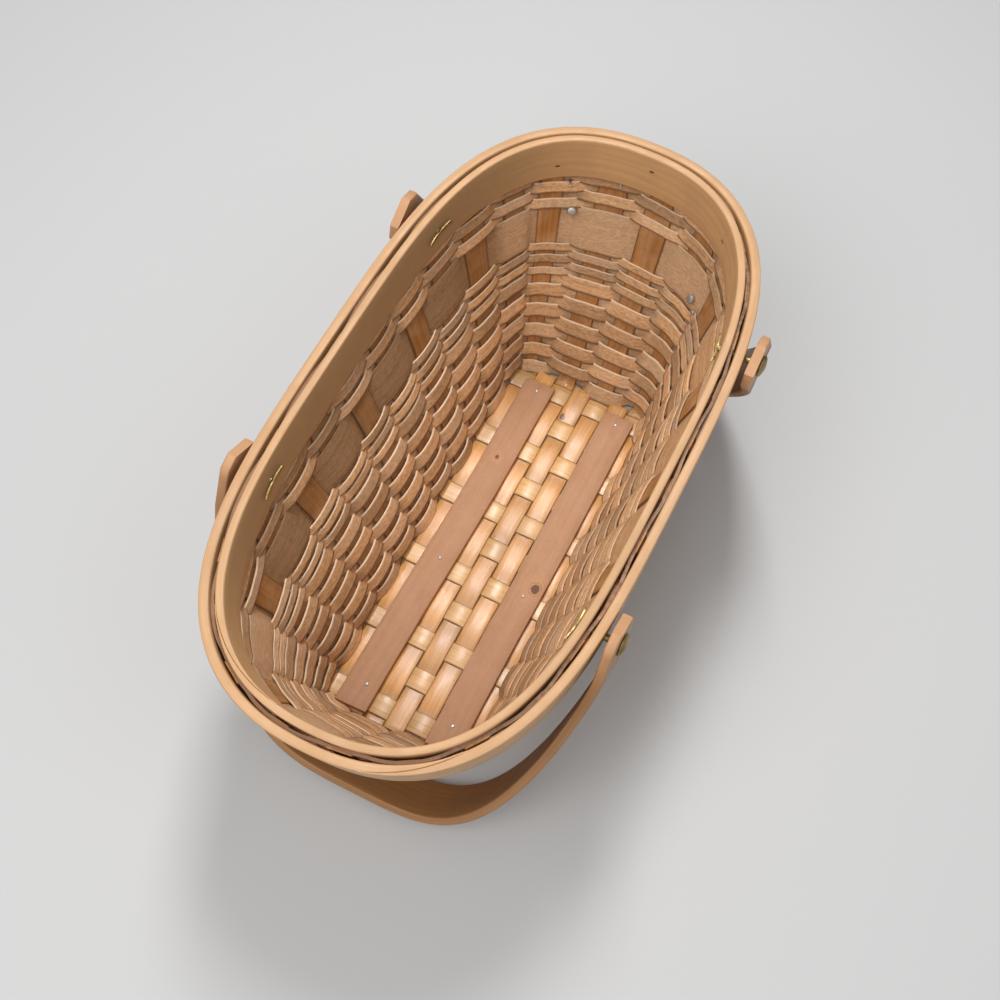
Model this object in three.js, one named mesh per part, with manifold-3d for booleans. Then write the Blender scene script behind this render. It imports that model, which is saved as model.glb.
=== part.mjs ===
// Woven splint basket with two hoops at the rim and two swinging bentwood handles.
// Millimetres, +Z up, origin on the table under the middle of the floor, +X along the length.
import * as THREE from 'three';
import Module from 'manifold-3d';
import { mergeVertices } from 'three/addons/utils/BufferGeometryUtils.js';

const wasm = await Module();
wasm.setup();

// Rim
const rimLength = 448.8;
const rimWidth = 230;
const rimLengthPower = 3.56;
const rimWidthPower = 2.26;
const rimHeight = 187.1;
const hoopHeight = 32;
const outerHoopThickness = 5.8;
const innerHoopThickness = 4.9;
const innerHoopRise = 2.75;
const hoopGap = 4;
const hoopEdgeRound = 1.6;

// Floor
const columnCount = 7;
const columnPitch = 14.48;
const columnWidth = 13.1;
const crosswiseCount = 11;
const crosswisePitch = 26.62;
const crosswiseWidth = 15;
const floorSideMargin = 1.2;
const slatWidth = 22.5;
const slatThickness = 4;
const slatEdgeEase = 0.6;
const slatFarEnd = 133.5;
const slatNearEnd = 143.4;
const slatLeftPlace = 29;
const slatRightPlace = 34;
const slatFarNail = 126;
const slatMiddleNail = -24;
const slatNearNail = -126;
const slatNailHeadRadius = 2;
const slatNailHeadThickness = 0.7;
const slatNailRadius = 0.8;
const slatNailLength = 3.2;

// Splints and rows
const splintThickness = 1.2;
const uprightWidth = 19;
const uprightTopWidth = 15;
const uprightTopThickness = 1;
const uprightShoulder = 6;
const uprightTopDrop = 2.5;
const rowThickness = 1.2;
const rimRowThickness = 0.5;
const rimRowHeight = 6.5;
const weaverRowHeight = 7.4;
const narrowRowHeight = 4.3;
const wideBandHeight = 24.9;
const upperRowHeight = 5.6;
const rowGap = 0.3;
const upperRowGap = 0.4;
const hoopFootGap = 3.2;
const rowGroups = [
  { name: 'weaver_row', count: 10, height: weaverRowHeight, gap: rowGap },
  { name: 'narrow_row', count: 5, height: narrowRowHeight, gap: rowGap },
  { name: 'wide_band', count: 1, height: wideBandHeight, gap: upperRowGap },
  { name: 'upper_row', count: 4, height: upperRowHeight, gap: upperRowGap },
];

// Handles and their pins
const handleDepth = 182.2;
const handleWidth = 32.8;
const handleThickness = 5.8;
const handleSideGap = 0.6;
const handleStraight = 20;
const handleLegPower = 3.8;
const handleBowPower = 1.16;
const tableGap = 0.75;
const wallGap = 4;
const earLength = 15;
const earTipWidth = 19;
const earChamfer = 7;
const pivotDrop = 12.8;
const nearPivotShare = 0.247798;
const farPivotShare = 0.791863;
const pinRadius = 2.2;
const pinHeadRadius = 6.9;
const pinHeadHeight = 3;
const pinHeadRim = 0.6;
const prongLength = 18;
const prongWidth = 4.2;
const prongThickness = 1;

// Fits and fineness
const clearance = 0.3;
const closeClearance = 0.25;
const rowReach = 0.9;
const bowLimit = 5.5;
const leastBowRoom = 0.1;
const drillOvershoot = 20;
const weldDistance = 1e-4;
const wallSteps = 4;
const hoopSteps = 72;
const rimLineSteps = 4000;
const handleLineSteps = 600;
const droopStep = 0.05;
const archSteps = 32;
const nailSides = 6;
const domeSteps = 3;
const prongSteps = 3;
const pinSides = 12;

const up = new THREE.Vector3(0, 0, 1);

// A tube of straight faces through a list of sections that all have the same number of corners.
function loft(sections, closed) {
  const corners = sections[0].length;
  const positions = sections.flat().flatMap((point) => point.toArray());
  const faces = [];
  const spans = closed ? sections.length : sections.length - 1;
  for (let s = 0; s < spans; s += 1) {
    const here = s * corners;
    const next = ((s + 1) % sections.length) * corners;
    for (let c = 0; c < corners; c += 1) {
      const d = (c + 1) % corners;
      faces.push(here + c, next + c, next + d);
      faces.push(here + c, next + d, here + d);
    }
  }
  if (!closed) {
    const last = (sections.length - 1) * corners;
    for (let c = 1; c < corners - 1; c += 1) {
      faces.push(0, c, c + 1);
      faces.push(last, last + c + 1, last + c);
    }
  }
  const geometry = new THREE.BufferGeometry();
  geometry.setAttribute('position', new THREE.Float32BufferAttribute(positions, 3));
  geometry.setIndex(faces);
  return signedVolume(geometry) < 0 ? turnedInsideOut(geometry) : geometry;
}

function signedVolume(geometry) {
  const place = geometry.getAttribute('position');
  const index = geometry.getIndex();
  const [a, b, c] = [new THREE.Vector3(), new THREE.Vector3(), new THREE.Vector3()];
  let volume = 0;
  for (let i = 0; i < index.count; i += 3) {
    a.fromBufferAttribute(place, index.getX(i));
    b.fromBufferAttribute(place, index.getX(i + 1));
    c.fromBufferAttribute(place, index.getX(i + 2));
    volume += a.dot(b.cross(c)) / 6;
  }
  return volume;
}

function turnedInsideOut(geometry) {
  const index = Array.from(geometry.getIndex().array);
  geometry.setIndex(index.map((_, i) => index[i - (i % 3) + 2 - (i % 3)]));
  return geometry;
}

// The four corners of a strip's section: its middle, its full width and its full thickness.
function stripSection(middle, width, thickness) {
  const corner = (a, b) => middle.clone().addScaledVector(width, a / 2).addScaledVector(thickness, b / 2);
  return [corner(-1, -1), corner(1, -1), corner(1, 1), corner(-1, 1)];
}

// Solids for cutting and joining
function toSolid(geometry) {
  const bare = geometry.clone();
  bare.deleteAttribute('normal');
  bare.deleteAttribute('uv');
  const merged = mergeVertices(bare, weldDistance);
  return new wasm.Manifold(new wasm.Mesh({
    numProp: 3,
    vertProperties: new Float32Array(merged.getAttribute('position').array),
    triVerts: new Uint32Array(merged.getIndex().array),
  }));
}

function fromSolid(solid) {
  const mesh = solid.getMesh();
  const geometry = new THREE.BufferGeometry();
  geometry.setAttribute('position', new THREE.Float32BufferAttribute(mesh.vertProperties, 3));
  geometry.setIndex(Array.from(mesh.triVerts));
  return geometry;
}

function cut(geometry, tools) {
  const solid = tools.reduce((left, tool) => left.subtract(toSolid(tool)), toSolid(geometry));
  return fromSolid(solid);
}

// The rim's outer edge is a stretched round oval. It is walked once round, from the middle of the
// far end towards the right side, and each point is moved inwards by the wanted depth. The line
// gives its point and outward direction at any share of the way round.
function rimLine(inset) {
  const dense = [];
  for (let i = 0; i < rimLineSteps; i += 1) {
    const angle = (i / rimLineSteps) * 2 * Math.PI;
    const [c, s] = [Math.cos(angle), -Math.sin(angle)];
    const x = Math.sign(c) * Math.abs(c) ** (2 / rimLengthPower);
    const y = Math.sign(s) * Math.abs(s) ** (2 / rimWidthPower);
    const out = new THREE.Vector3(
      Math.sign(x) * (rimLengthPower / rimLength) * Math.abs(x) ** (rimLengthPower - 1),
      Math.sign(y) * (rimWidthPower / rimWidth) * Math.abs(y) ** (rimWidthPower - 1),
      0,
    ).normalize();
    const point = new THREE.Vector3((x * rimLength) / 2, (y * rimWidth) / 2, 0);
    dense.push({ point: point.addScaledVector(out, -inset), out });
  }
  const travelled = [0];
  dense.forEach(({ point }, i) => {
    travelled.push(travelled[i] + point.distanceTo(dense[(i + 1) % rimLineSteps].point));
  });
  const length = travelled[rimLineSteps];
  const at = (share) => {
    const wanted = (((share % 1) + 1) % 1) * length;
    let i = Math.floor((wanted / length) * rimLineSteps);
    while (travelled[i] > wanted) i -= 1;
    while (travelled[i + 1] < wanted) i += 1;
    const step = (wanted - travelled[i]) / (travelled[i + 1] - travelled[i]);
    const [from, to] = [dense[i], dense[(i + 1) % rimLineSteps]];
    return {
      point: from.point.clone().lerp(to.point, step),
      out: from.out.clone().lerp(to.out, step).normalize(),
    };
  };
  return { at, length };
}

const splintDepth = outerHoopThickness + hoopGap / 2;
const splintLine = rimLine(splintDepth);
const hoopFoot = rimHeight - hoopHeight;
const layer = splintThickness + clearance;
const lowLayer = splintThickness / 2;
const highLayer = lowLayer + layer;
const floorTop = highLayer + splintThickness / 2;
const halfFloorLength = (crosswiseCount * crosswisePitch) / 2;
const halfFloorWidth = (columnCount * columnPitch) / 2 + floorSideMargin;
const columnY = (c) => ((columnCount - 1) / 2 - c) * columnPitch;
const crosswiseX = (k) => (k - (crosswiseCount - 1) / 2) * crosswisePitch;
const turnedUp = (c) => c % 2 === 0;
const endCount = Math.ceil(columnCount / 2);
const uprightCount = 2 * (endCount + crosswiseCount);

// Uprights, in order round the basket: far end from the left, right side from the far end,
// near end from the right, left side from the near end.
const uprights = [];
for (let e = 0; e < endCount; e += 1) {
  uprights.push({ foot: [halfFloorLength, columnY(2 * e)], out: [1, 0], width: columnWidth });
}
for (let k = crosswiseCount - 1; k >= 0; k -= 1) {
  uprights.push({ foot: [crosswiseX(k), -halfFloorWidth], out: [0, -1], width: crosswiseWidth });
}
for (let e = endCount - 1; e >= 0; e -= 1) {
  uprights.push({ foot: [-halfFloorLength, columnY(2 * e)], out: [-1, 0], width: columnWidth });
}
for (let k = 0; k < crosswiseCount; k += 1) {
  uprights.push({ foot: [crosswiseX(k), halfFloorWidth], out: [0, 1], width: crosswiseWidth });
}
uprights.forEach((upright, i) => {
  const rim = splintLine.at((i - (endCount - 1) / 2) / uprightCount);
  upright.foot = new THREE.Vector3(...upright.foot, 0);
  upright.out = new THREE.Vector3(...upright.out, 0);
  upright.rim = rim.point;
  upright.rimOut = rim.out;
});

// A handle's pivot keeps its place among the side stakes' tops: its share of the way along them,
// from the first at the near end to the last at the far end.
function amongStakes(share) {
  const place = share * (crosswiseCount - 1);
  const before = Math.floor(place);
  const [from, to] = [before, before + 1].map((k) => uprights[2 * endCount + crosswiseCount + k].rim.x);
  return from + (to - from) * (place - before);
}

const pivotPlaces = [
  { name: 'near', x: amongStakes(nearPivotShare), lean: -1 },
  { name: 'far', x: amongStakes(farPivotShare), lean: 1 },
];

const sideways = (out) => new THREE.Vector3(out.y, -out.x, 0);

// Where an upright is at a height, which way it runs, spreads and faces, and how wide it is.
// It leans out to the hoops, turning to face square to the rim, and stands straight between them.
// One that turns is folded flat from bend to bend, so its faces stand a little proud between bends.
function uprightAt(upright, height) {
  const share = Math.min(height / hoopFoot, 1);
  const point = upright.foot.clone().lerp(upright.rim, share).setZ(height);
  const across = sideways(upright.out).lerp(sideways(upright.rimOut), share);
  const inHoops = height > hoopFoot;
  const leaning = upright.rim.clone().sub(upright.foot).setZ(hoopFoot);
  const out = (inHoops ? up.clone() : leaning).cross(across).normalize();
  const levelOut = new THREE.Vector3(-across.y, across.x, 0).normalize();
  const width = inHoops ? uprightTopWidth : upright.width + (uprightWidth - upright.width) * share;
  const thickness = inHoops ? uprightTopThickness : splintThickness;
  const turn = inHoops ? 0 : upright.out.angleTo(upright.rimOut) / wallSteps;
  return { point, across, out, levelOut, width, thickness, proud: (width / 4) * Math.sin(turn) };
}

function wallSections(upright, level, layerOut) {
  const section = (height) => {
    const here = uprightAt(upright, height);
    const width = here.across.clone().multiplyScalar(here.width);
    return { here, width, thickness: here.out.clone().multiplyScalar(here.thickness) };
  };
  const { here: start, width: startWidth } = section(level);
  const folded = start.out.clone().add(layerOut).divideScalar(1 + start.out.dot(layerOut));
  const sections = [stripSection(start.point, startWidth, folded.multiplyScalar(splintThickness))];
  const rise = (hoopFoot - level) / wallSteps;
  const heights = Array.from({ length: wallSteps }, (_, i) => level + rise * (i + 1));
  heights.push(hoopFoot + uprightShoulder, rimHeight - uprightTopDrop);
  for (const height of heights) {
    const { here, width, thickness } = section(height);
    sections.push(stripSection(here.point, width, thickness));
  }
  return sections;
}

// The stretch of a splint that lies in the floor: it passes over and under the splints it crosses,
// level across each one. The splint runs along direction and is at offset from the middle.
function floorSections(direction, offset, width, crossings) {
  const across = sideways(direction);
  const fullWidth = across.clone().multiplyScalar(width);
  const down = up.clone().multiplyScalar(-splintThickness);
  const sections = [];
  for (const { place, halfWidth, high } of crossings) {
    for (const edge of [-halfWidth, halfWidth]) {
      const middle = direction.clone().multiplyScalar(place + edge).addScaledVector(across, offset);
      middle.setZ(high ? highLayer : lowLayer);
      sections.push(stripSection(middle, fullWidth, down));
    }
  }
  return sections;
}

const crosswiseIsHigh = (k, c) => (k + c) % 2 === 0;

function sideStake(k) {
  const direction = new THREE.Vector3(0, 1, 0);
  const crossings = [];
  for (let c = columnCount - 1; c >= 0; c -= 1) {
    crossings.push({ place: columnY(c), halfWidth: columnWidth / 2, high: crosswiseIsHigh(k, c) });
  }
  const floor = floorSections(direction, crosswiseX(k), crosswiseWidth, crossings);
  const right = uprights[endCount + crosswiseCount - 1 - k];
  const left = uprights[2 * endCount + crosswiseCount + k];
  return stakeBody(right, floor, left, crossings);
}

function endStake(c) {
  const direction = new THREE.Vector3(1, 0, 0);
  const crossings = lengthwiseCrossings(c);
  const floor = floorSections(direction, -columnY(c), columnWidth, crossings);
  const near = uprights[endCount + crosswiseCount + (endCount - 1 - c / 2)];
  const far = uprights[c / 2];
  return stakeBody(near, floor, far, crossings);
}

function lengthwiseCrossings(c) {
  return Array.from({ length: crosswiseCount }, (_, k) => ({
    place: crosswiseX(k), halfWidth: crosswiseWidth / 2, high: !crosswiseIsHigh(k, c),
  }));
}

// Both walls of a stake and its floor stretch make one strip. The first wall is walked downwards,
// so its sections are mirrored to keep each corner in line with the floor's.
function stakeBody(first, floor, last, crossings) {
  const level = (crossing) => (crossing.high ? highLayer : lowLayer);
  const down = up.clone().negate();
  const rising = wallSections(last, level(crossings[crossings.length - 1]), down);
  const falling = wallSections(first, level(crossings[0]), down).reverse();
  const mirrored = falling.map(([a, b, c, d]) => [b, a, d, c]);
  return loft([...mirrored, ...floor, ...rising], false);
}

function floorSplint(c) {
  const direction = new THREE.Vector3(1, 0, 0);
  const sections = floorSections(direction, -columnY(c), columnWidth, lengthwiseCrossings(c));
  const end = halfFloorLength - splintThickness - clearance;
  for (const [from, x] of [[0, -end], [sections.length - 1, end]]) {
    const moved = sections[from].map((point) => point.clone().setX(x));
    sections.splice(from === 0 ? 0 : sections.length, 0, moved);
  }
  return loft(sections, false);
}

// How far the middle of a row stands off an upright's middle, level, where it lies against it.
function seatAt(here, thickness, spare) {
  const lean = here.out.dot(here.levelOut);
  return (here.thickness / 2 + spare) / lean + thickness / 2 + here.proud;
}

// How far a row has to stand off an upright's middle when it bends only there: on its way to the
// uprights on both sides, where it is on the other face, it still has to clear this one's edges.
function bowAt(i, height, thickness, side) {
  const here = uprightAt(uprights[i], height);
  const across = here.across.clone().normalize();
  const seat = seatAt(here, thickness, clearance);
  const edge = here.width / 2 + clearance;
  let bow = seat;
  for (const turn of [-1, 1]) {
    const next = uprightAt(uprights[(i + turn + uprightCount) % uprightCount], height);
    const middle = next.point.clone().sub(here.point);
    const nearEdge = middle.clone().addScaledVector(next.across, -turn * (next.width / 2 + rowReach));
    nearEdge.addScaledVector(next.levelOut, -side * seat);
    const toEdge = edge / Math.abs(nearEdge.dot(across));
    bow = Math.max(bow, (seat - side * nearEdge.dot(here.levelOut) * toEdge) / (1 - toEdge));
    const toMiddle = edge / Math.abs(middle.dot(across));
    const room = 1 - toMiddle * (1 + next.levelOut.dot(here.levelOut));
    if (room < leastBowRoom) return Infinity;
    bow = Math.max(bow, (seat - side * middle.dot(here.levelOut) * toMiddle) / room);
  }
  return bow;
}

// A row goes once round, outside one upright and inside the next. Where uprights stand close or
// the wall turns, it lies flat across the upright, and elsewhere it bows past the middle. Its
// edges stay level, so that the rows lie on each other all the way round.
function rowBody(bottom, height, thickness, firstSide) {
  const top = bottom + height;
  const inHoops = top > hoopFoot;
  const spare = inHoops ? closeClearance : clearance;
  const sections = [];
  uprights.forEach((upright, i) => {
    const side = i % 2 === 0 ? firstSide : -firstSide;
    const bow = Math.max(...[bottom, top].map((level) => bowAt(i, level, thickness, side)));
    const bent = !inHoops && bow < bowLimit;
    for (const edge of bent ? [0] : [-1, 1]) {
      const ends = [bottom, top].map((level) => {
        const here = uprightAt(upright, level);
        const off = side * (bent ? bow : seatAt(here, thickness, spare));
        const point = here.point.clone().addScaledVector(here.levelOut, off);
        point.addScaledVector(here.across, edge * (here.width / 2 + rowReach));
        return { point, half: here.levelOut.clone().multiplyScalar(thickness / 2) };
      });
      const [low, high] = ends;
      sections.push([
        low.point.clone().sub(low.half), high.point.clone().sub(high.half),
        high.point.clone().add(high.half), low.point.clone().add(low.half),
      ]);
    }
  });
  return loft(sections, true);
}

// A hoop is one bent strip with rounded top edges.
function hoopBody(inset, thickness, bottom, top) {
  const round = hoopEdgeRound;
  const outer = rimLine(inset);
  const sections = Array.from({ length: hoopSteps }, (_, i) => {
    const { point, out } = outer.at(i / hoopSteps);
    const corner = (depth, height) => point.clone().addScaledVector(out, -depth).setZ(height);
    return [
      corner(0, bottom), corner(0, top - round), corner(round, top),
      corner(thickness - round, top), corner(thickness, top - round), corner(thickness, bottom),
    ];
  });
  return loft(sections, true);
}

const pivotHeight = rimHeight - pivotDrop;
const handleInnerHalf = rimWidth / 2 + handleSideGap;

// A drill across the basket, for the handle pins
function crossDrill(x, z) {
  const radius = pinRadius + clearance;
  const reach = handleInnerHalf + handleThickness + drillOvershoot;
  return new THREE.CylinderGeometry(radius, radius, 2 * reach, pinSides).translate(x, 0, z);
}

const pinDrills = pivotPlaces.map(({ x }) => crossDrill(x, pivotHeight));

// The handle's inner line, from the left ear round the bow to the right ear, as distances across
// the basket and away from the pivot.
function handleLine() {
  const bow = [];
  for (let i = 0; i <= handleLineSteps; i += 1) {
    const angle = (i / handleLineSteps) * Math.PI;
    const c = Math.cos(angle);
    const y = handleInnerHalf * Math.sign(c) * Math.abs(c) ** (2 / handleLegPower);
    const r = (handleDepth - handleStraight) * Math.sin(angle) ** (2 / handleBowPower);
    bow.push(new THREE.Vector3(y, handleStraight + r, 0));
  }
  const spaced = new THREE.CatmullRomCurve3(bow).getSpacedPoints(archSteps);
  const ear = (side) => {
    const tip = new THREE.Vector3(side * handleInnerHalf, -earLength, 0);
    return [tip, tip.clone().setY(earChamfer - earLength)];
  };
  return [...ear(1), ...spaced, ...ear(-1).reverse()];
}

// How steeply a handle hangs: down until its bow is just off the table or the basket's end wall.
function handleDroop({ x, lean }) {
  const wallAt = (z) => halfFloorLength + ((rimLength / 2 - splintDepth - halfFloorLength) * z) / hoopFoot;
  for (let degrees = 90; degrees > 0; degrees -= droopStep) {
    const droop = THREE.MathUtils.degToRad(degrees);
    const [run, fall] = [Math.cos(droop), Math.sin(droop)];
    const lowest = pivotHeight - (handleDepth + handleThickness) * fall - (handleWidth / 2) * run;
    const insideX = handleDepth * run - (handleWidth / 2) * fall + x * lean;
    const insideZ = pivotHeight - handleDepth * fall - (handleWidth / 2) * run;
    if (lowest >= tableGap && insideX >= wallAt(insideZ) + wallGap) return droop;
  }
  throw new Error('the handle finds no place to hang');
}

function handleBody(place) {
  const { x, lean } = place;
  const line = handleLine();
  const droop = handleDroop(place);
  const away = new THREE.Vector3(lean * Math.cos(droop), 0, -Math.sin(droop));
  const flat = new THREE.Vector3(0, 1, 0).cross(away);
  const pivot = new THREE.Vector3(x, 0, pivotHeight);
  const last = line.length - 1;
  const sections = line.map((point, i) => {
    const run = line[Math.min(i + 1, last)].clone().sub(line[Math.max(i - 1, 0)]).normalize();
    const out = new THREE.Vector3(run.y, -run.x, 0);
    const middle = point.clone().addScaledVector(out, handleThickness / 2);
    const turned = (v) => new THREE.Vector3(0, v.x, 0).addScaledVector(away, v.y);
    const width = flat.clone().multiplyScalar(i === 0 || i === last ? earTipWidth : handleWidth);
    const thickness = turned(out).multiplyScalar(handleThickness);
    return stripSection(pivot.clone().add(turned(middle)), width, thickness);
  });
  return cut(loft(sections, false), [crossDrill(x, pivotHeight)]);
}

// The share of the way round a rim line at which it passes a place along the length on one side.
function shareAt(line, x, side) {
  const shares = Array.from({ length: rimLineSteps }, (_, i) => i / rimLineSteps);
  const onSide = shares.filter((share) => line.at(share).point.y * side > 0);
  const miss = (share) => Math.abs(line.at(share).point.x - x);
  return onSide.reduce((best, share) => (miss(share) < miss(best) ? share : best));
}

// A brass split pin: a domed head outside the ear, a shank through ear and hoops, and two flat
// prongs bent apart along the inner hoop.
function pinBody(x, side) {
  const prongInset = outerHoopThickness + hoopGap + innerHoopThickness + clearance + prongThickness / 2;
  const line = rimLine(prongInset);
  const share = shareAt(line, x, side);
  const turn = prongLength / prongSteps / line.length;
  const sections = [];
  for (let i = -prongSteps; i <= prongSteps; i += 1) {
    const { point, out } = line.at(share + i * turn);
    const width = up.clone().multiplyScalar(i === 0 ? 2 * pinRadius : prongWidth);
    sections.push(stripSection(point.setZ(pivotHeight), width, out.multiplyScalar(prongThickness)));
  }
  const inner = Math.abs(line.at(share).point.y);
  const seat = handleInnerHalf + handleThickness + clearance;
  const profile = [[0, inner], [pinRadius, inner], [pinRadius, seat], [pinHeadRadius, seat]];
  for (let i = 0; i < domeSteps; i += 1) {
    const angle = (i / domeSteps) * (Math.PI / 2);
    const rise = pinHeadRim + (pinHeadHeight - pinHeadRim) * Math.sin(angle);
    profile.push([pinHeadRadius * Math.cos(angle), seat + rise]);
  }
  profile.push([0, seat + pinHeadHeight]);
  const shank = new THREE.LatheGeometry(profile.map(([r, y]) => new THREE.Vector2(r, y)), pinSides);
  if (side < 0) shank.rotateZ(Math.PI);
  shank.translate(x, 0, pivotHeight);
  return fromSolid(toSolid(shank).add(toSolid(loft(sections, false))));
}

const slatNailPlaces = [slatFarNail, slatMiddleNail, slatNearNail];

function slatBody(y) {
  const bottom = floorTop + clearance;
  const top = bottom + slatThickness;
  const half = slatWidth / 2;
  const ease = slatEdgeEase;
  const outline = new THREE.Shape([
    new THREE.Vector2(-half, bottom), new THREE.Vector2(half, bottom),
    new THREE.Vector2(half, top - ease), new THREE.Vector2(half - ease, top),
    new THREE.Vector2(ease - half, top), new THREE.Vector2(-half, top - ease),
  ]);
  const slat = new THREE.ExtrudeGeometry(outline, { depth: slatFarEnd + slatNearEnd, bevelEnabled: false });
  slat.rotateX(Math.PI / 2).rotateZ(Math.PI / 2).translate(-slatNearEnd, y, 0);
  const radius = slatNailRadius + clearance;
  const hole = new THREE.CylinderGeometry(radius, radius, 2 * (slatNailLength + clearance), nailSides);
  hole.rotateX(Math.PI / 2).translate(0, y, top);
  return cut(slat, slatNailPlaces.map((x) => hole.clone().translate(x, 0, 0)));
}

function slatNail(x, y) {
  const top = floorTop + clearance + slatThickness + clearance;
  const profile = [
    [0, -slatNailLength], [slatNailRadius, -slatNailLength], [slatNailRadius, 0],
    [slatNailHeadRadius, 0], [slatNailHeadRadius, slatNailHeadThickness], [0, slatNailHeadThickness],
  ].map(([r, z]) => new THREE.Vector2(r, z));
  return new THREE.LatheGeometry(profile, nailSides).rotateX(Math.PI / 2).translate(x, y, top);
}

// Finishes, seen on the basket
const finishes = {
  splint: { color: 0xb98250, roughness: 0.55, metalness: 0 },
  floor: { color: 0xd9a35a, roughness: 0.4, metalness: 0 },
  row: { color: 0xa57a55, roughness: 0.8, metalness: 0 },
  hoop: { color: 0xe3b183, roughness: 0.55, metalness: 0 },
  slat: { color: 0xb88566, roughness: 0.85, metalness: 0 },
  handle: { color: 0xc98f54, roughness: 0.5, metalness: 0 },
  brass: { color: 0xc9a24c, roughness: 0.35, metalness: 1 },
  steel: { color: 0xb9b9b4, roughness: 0.4, metalness: 1 },
};

const basket = new THREE.Group();

function addPiece(name, geometry, finish) {
  const material = new THREE.MeshStandardMaterial(finishes[finish]);
  const piece = new THREE.Mesh(geometry, material);
  piece.name = name;
  basket.add(piece);
  return piece;
}

// A piece made by a name, or by a name and a number where there are several
const numbered = (name, i, count) => (count > 1 ? `${name}_${String(i + 1).padStart(2, '0')}` : name);

// Floor and uprights. A pin that meets a stake goes through it.
const meetsPin = (k) => {
  const top = uprights[endCount + crosswiseCount - 1 - k].rim.x;
  return pivotPlaces.some(({ x }) => Math.abs(top - x) < uprightTopWidth / 2 + pinRadius + clearance);
};
for (let k = 0; k < crosswiseCount; k += 1) {
  const stake = meetsPin(k) ? cut(sideStake(k), pinDrills) : sideStake(k);
  addPiece(numbered('side_stake', k, crosswiseCount), stake, 'splint');
}
for (let c = 0; c < columnCount; c += 1) {
  if (turnedUp(c)) {
    addPiece(numbered('end_stake', c / 2, endCount), endStake(c), 'splint');
  } else {
    addPiece(numbered('floor_splint', (c - 1) / 2, endCount - 1), floorSplint(c), 'floor');
  }
}
for (const [name, y] of [['floor_slat_left', slatLeftPlace], ['floor_slat_right', -slatRightPlace]]) {
  addPiece(name, slatBody(y), 'slat');
  slatNailPlaces.forEach((x, i) => addPiece(`${name}_nail_${i + 1}`, slatNail(x, y), 'steel'));
}

// Rows, from the floor up, each on the other side of the uprights from the one below. They fill
// the wall between the floor and the hoops, in the proportions of the row heights.
let rowFoot = floorTop + clearance;
let rowSide = -1;
const sumOf = (amount) => rowGroups.reduce((sum, group) => sum + group.count * amount(group), 0);
const wallRoom = hoopFoot - hoopFootGap - rowFoot + upperRowGap - sumOf((group) => group.gap);
const fill = wallRoom / sumOf((group) => group.height);
for (const { name, count, height, gap } of rowGroups) {
  for (let i = 0; i < count; i += 1) {
    addPiece(numbered(name, i, count), rowBody(rowFoot, height * fill, rowThickness, rowSide), 'row');
    rowFoot += height * fill + gap;
    rowSide = -rowSide;
  }
}
const rimRowFoot = rimHeight - uprightTopDrop - rimRowHeight;
addPiece('rim_row', rowBody(rimRowFoot, rimRowHeight, rimRowThickness, rowSide), 'row');

// Rim
addPiece('outer_hoop', cut(hoopBody(0, outerHoopThickness, hoopFoot, rimHeight), pinDrills), 'hoop');
const innerInset = outerHoopThickness + hoopGap;
const innerFoot = hoopFoot + innerHoopRise;
const innerHoop = hoopBody(innerInset, innerHoopThickness, innerFoot, innerFoot + hoopHeight);
addPiece('inner_hoop', cut(innerHoop, pinDrills), 'hoop');

// Handles and pins
for (const place of pivotPlaces) {
  addPiece(`handle_${place.name}`, handleBody(place), 'handle');
  addPiece(`pin_${place.name}_left`, pinBody(place.x, 1), 'brass');
  addPiece(`pin_${place.name}_right`, pinBody(place.x, -1), 'brass');
}

export default basket;
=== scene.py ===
"""Woven splint basket: floor and walls of wooden splints, two hoops at the rim and two handles.

Metres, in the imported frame: +X along the basket, +Y across it to the left, +Z up from the table.
"""
import bisect
import math
import random

import bmesh
import bpy
from mathutils import Matrix, Vector


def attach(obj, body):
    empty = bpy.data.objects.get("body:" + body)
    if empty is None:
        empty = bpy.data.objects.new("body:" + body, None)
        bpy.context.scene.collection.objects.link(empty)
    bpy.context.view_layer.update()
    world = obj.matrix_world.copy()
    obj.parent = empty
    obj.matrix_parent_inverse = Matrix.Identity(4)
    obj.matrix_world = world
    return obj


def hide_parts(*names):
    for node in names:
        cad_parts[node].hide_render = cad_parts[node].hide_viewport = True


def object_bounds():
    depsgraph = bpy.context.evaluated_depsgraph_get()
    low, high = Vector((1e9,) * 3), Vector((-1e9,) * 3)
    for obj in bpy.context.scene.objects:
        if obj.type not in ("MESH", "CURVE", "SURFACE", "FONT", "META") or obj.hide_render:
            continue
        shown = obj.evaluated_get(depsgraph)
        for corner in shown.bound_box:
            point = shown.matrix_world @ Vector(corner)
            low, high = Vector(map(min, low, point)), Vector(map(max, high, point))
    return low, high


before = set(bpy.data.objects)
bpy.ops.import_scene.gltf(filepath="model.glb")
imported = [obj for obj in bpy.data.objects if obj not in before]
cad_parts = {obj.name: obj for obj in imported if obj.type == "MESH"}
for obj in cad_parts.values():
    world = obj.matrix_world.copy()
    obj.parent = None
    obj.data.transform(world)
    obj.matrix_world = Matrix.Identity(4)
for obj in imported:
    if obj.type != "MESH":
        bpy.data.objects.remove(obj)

bl_info = {
    "name": "Splint Basket",
    "version": (1, 0, 0),
    "blender": (4, 5, 0),
    "location": "3D View > Sidebar > Basket",
    "description": "Dresses a woven splint basket: splints, rows, slats, hoops, handles and pins",
    "category": "Object",
}

CAD_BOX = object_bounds()
BODY = "basket"
SEED = 41
AIR = 0.0003  # what stays free between pieces that rest on each other

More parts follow.
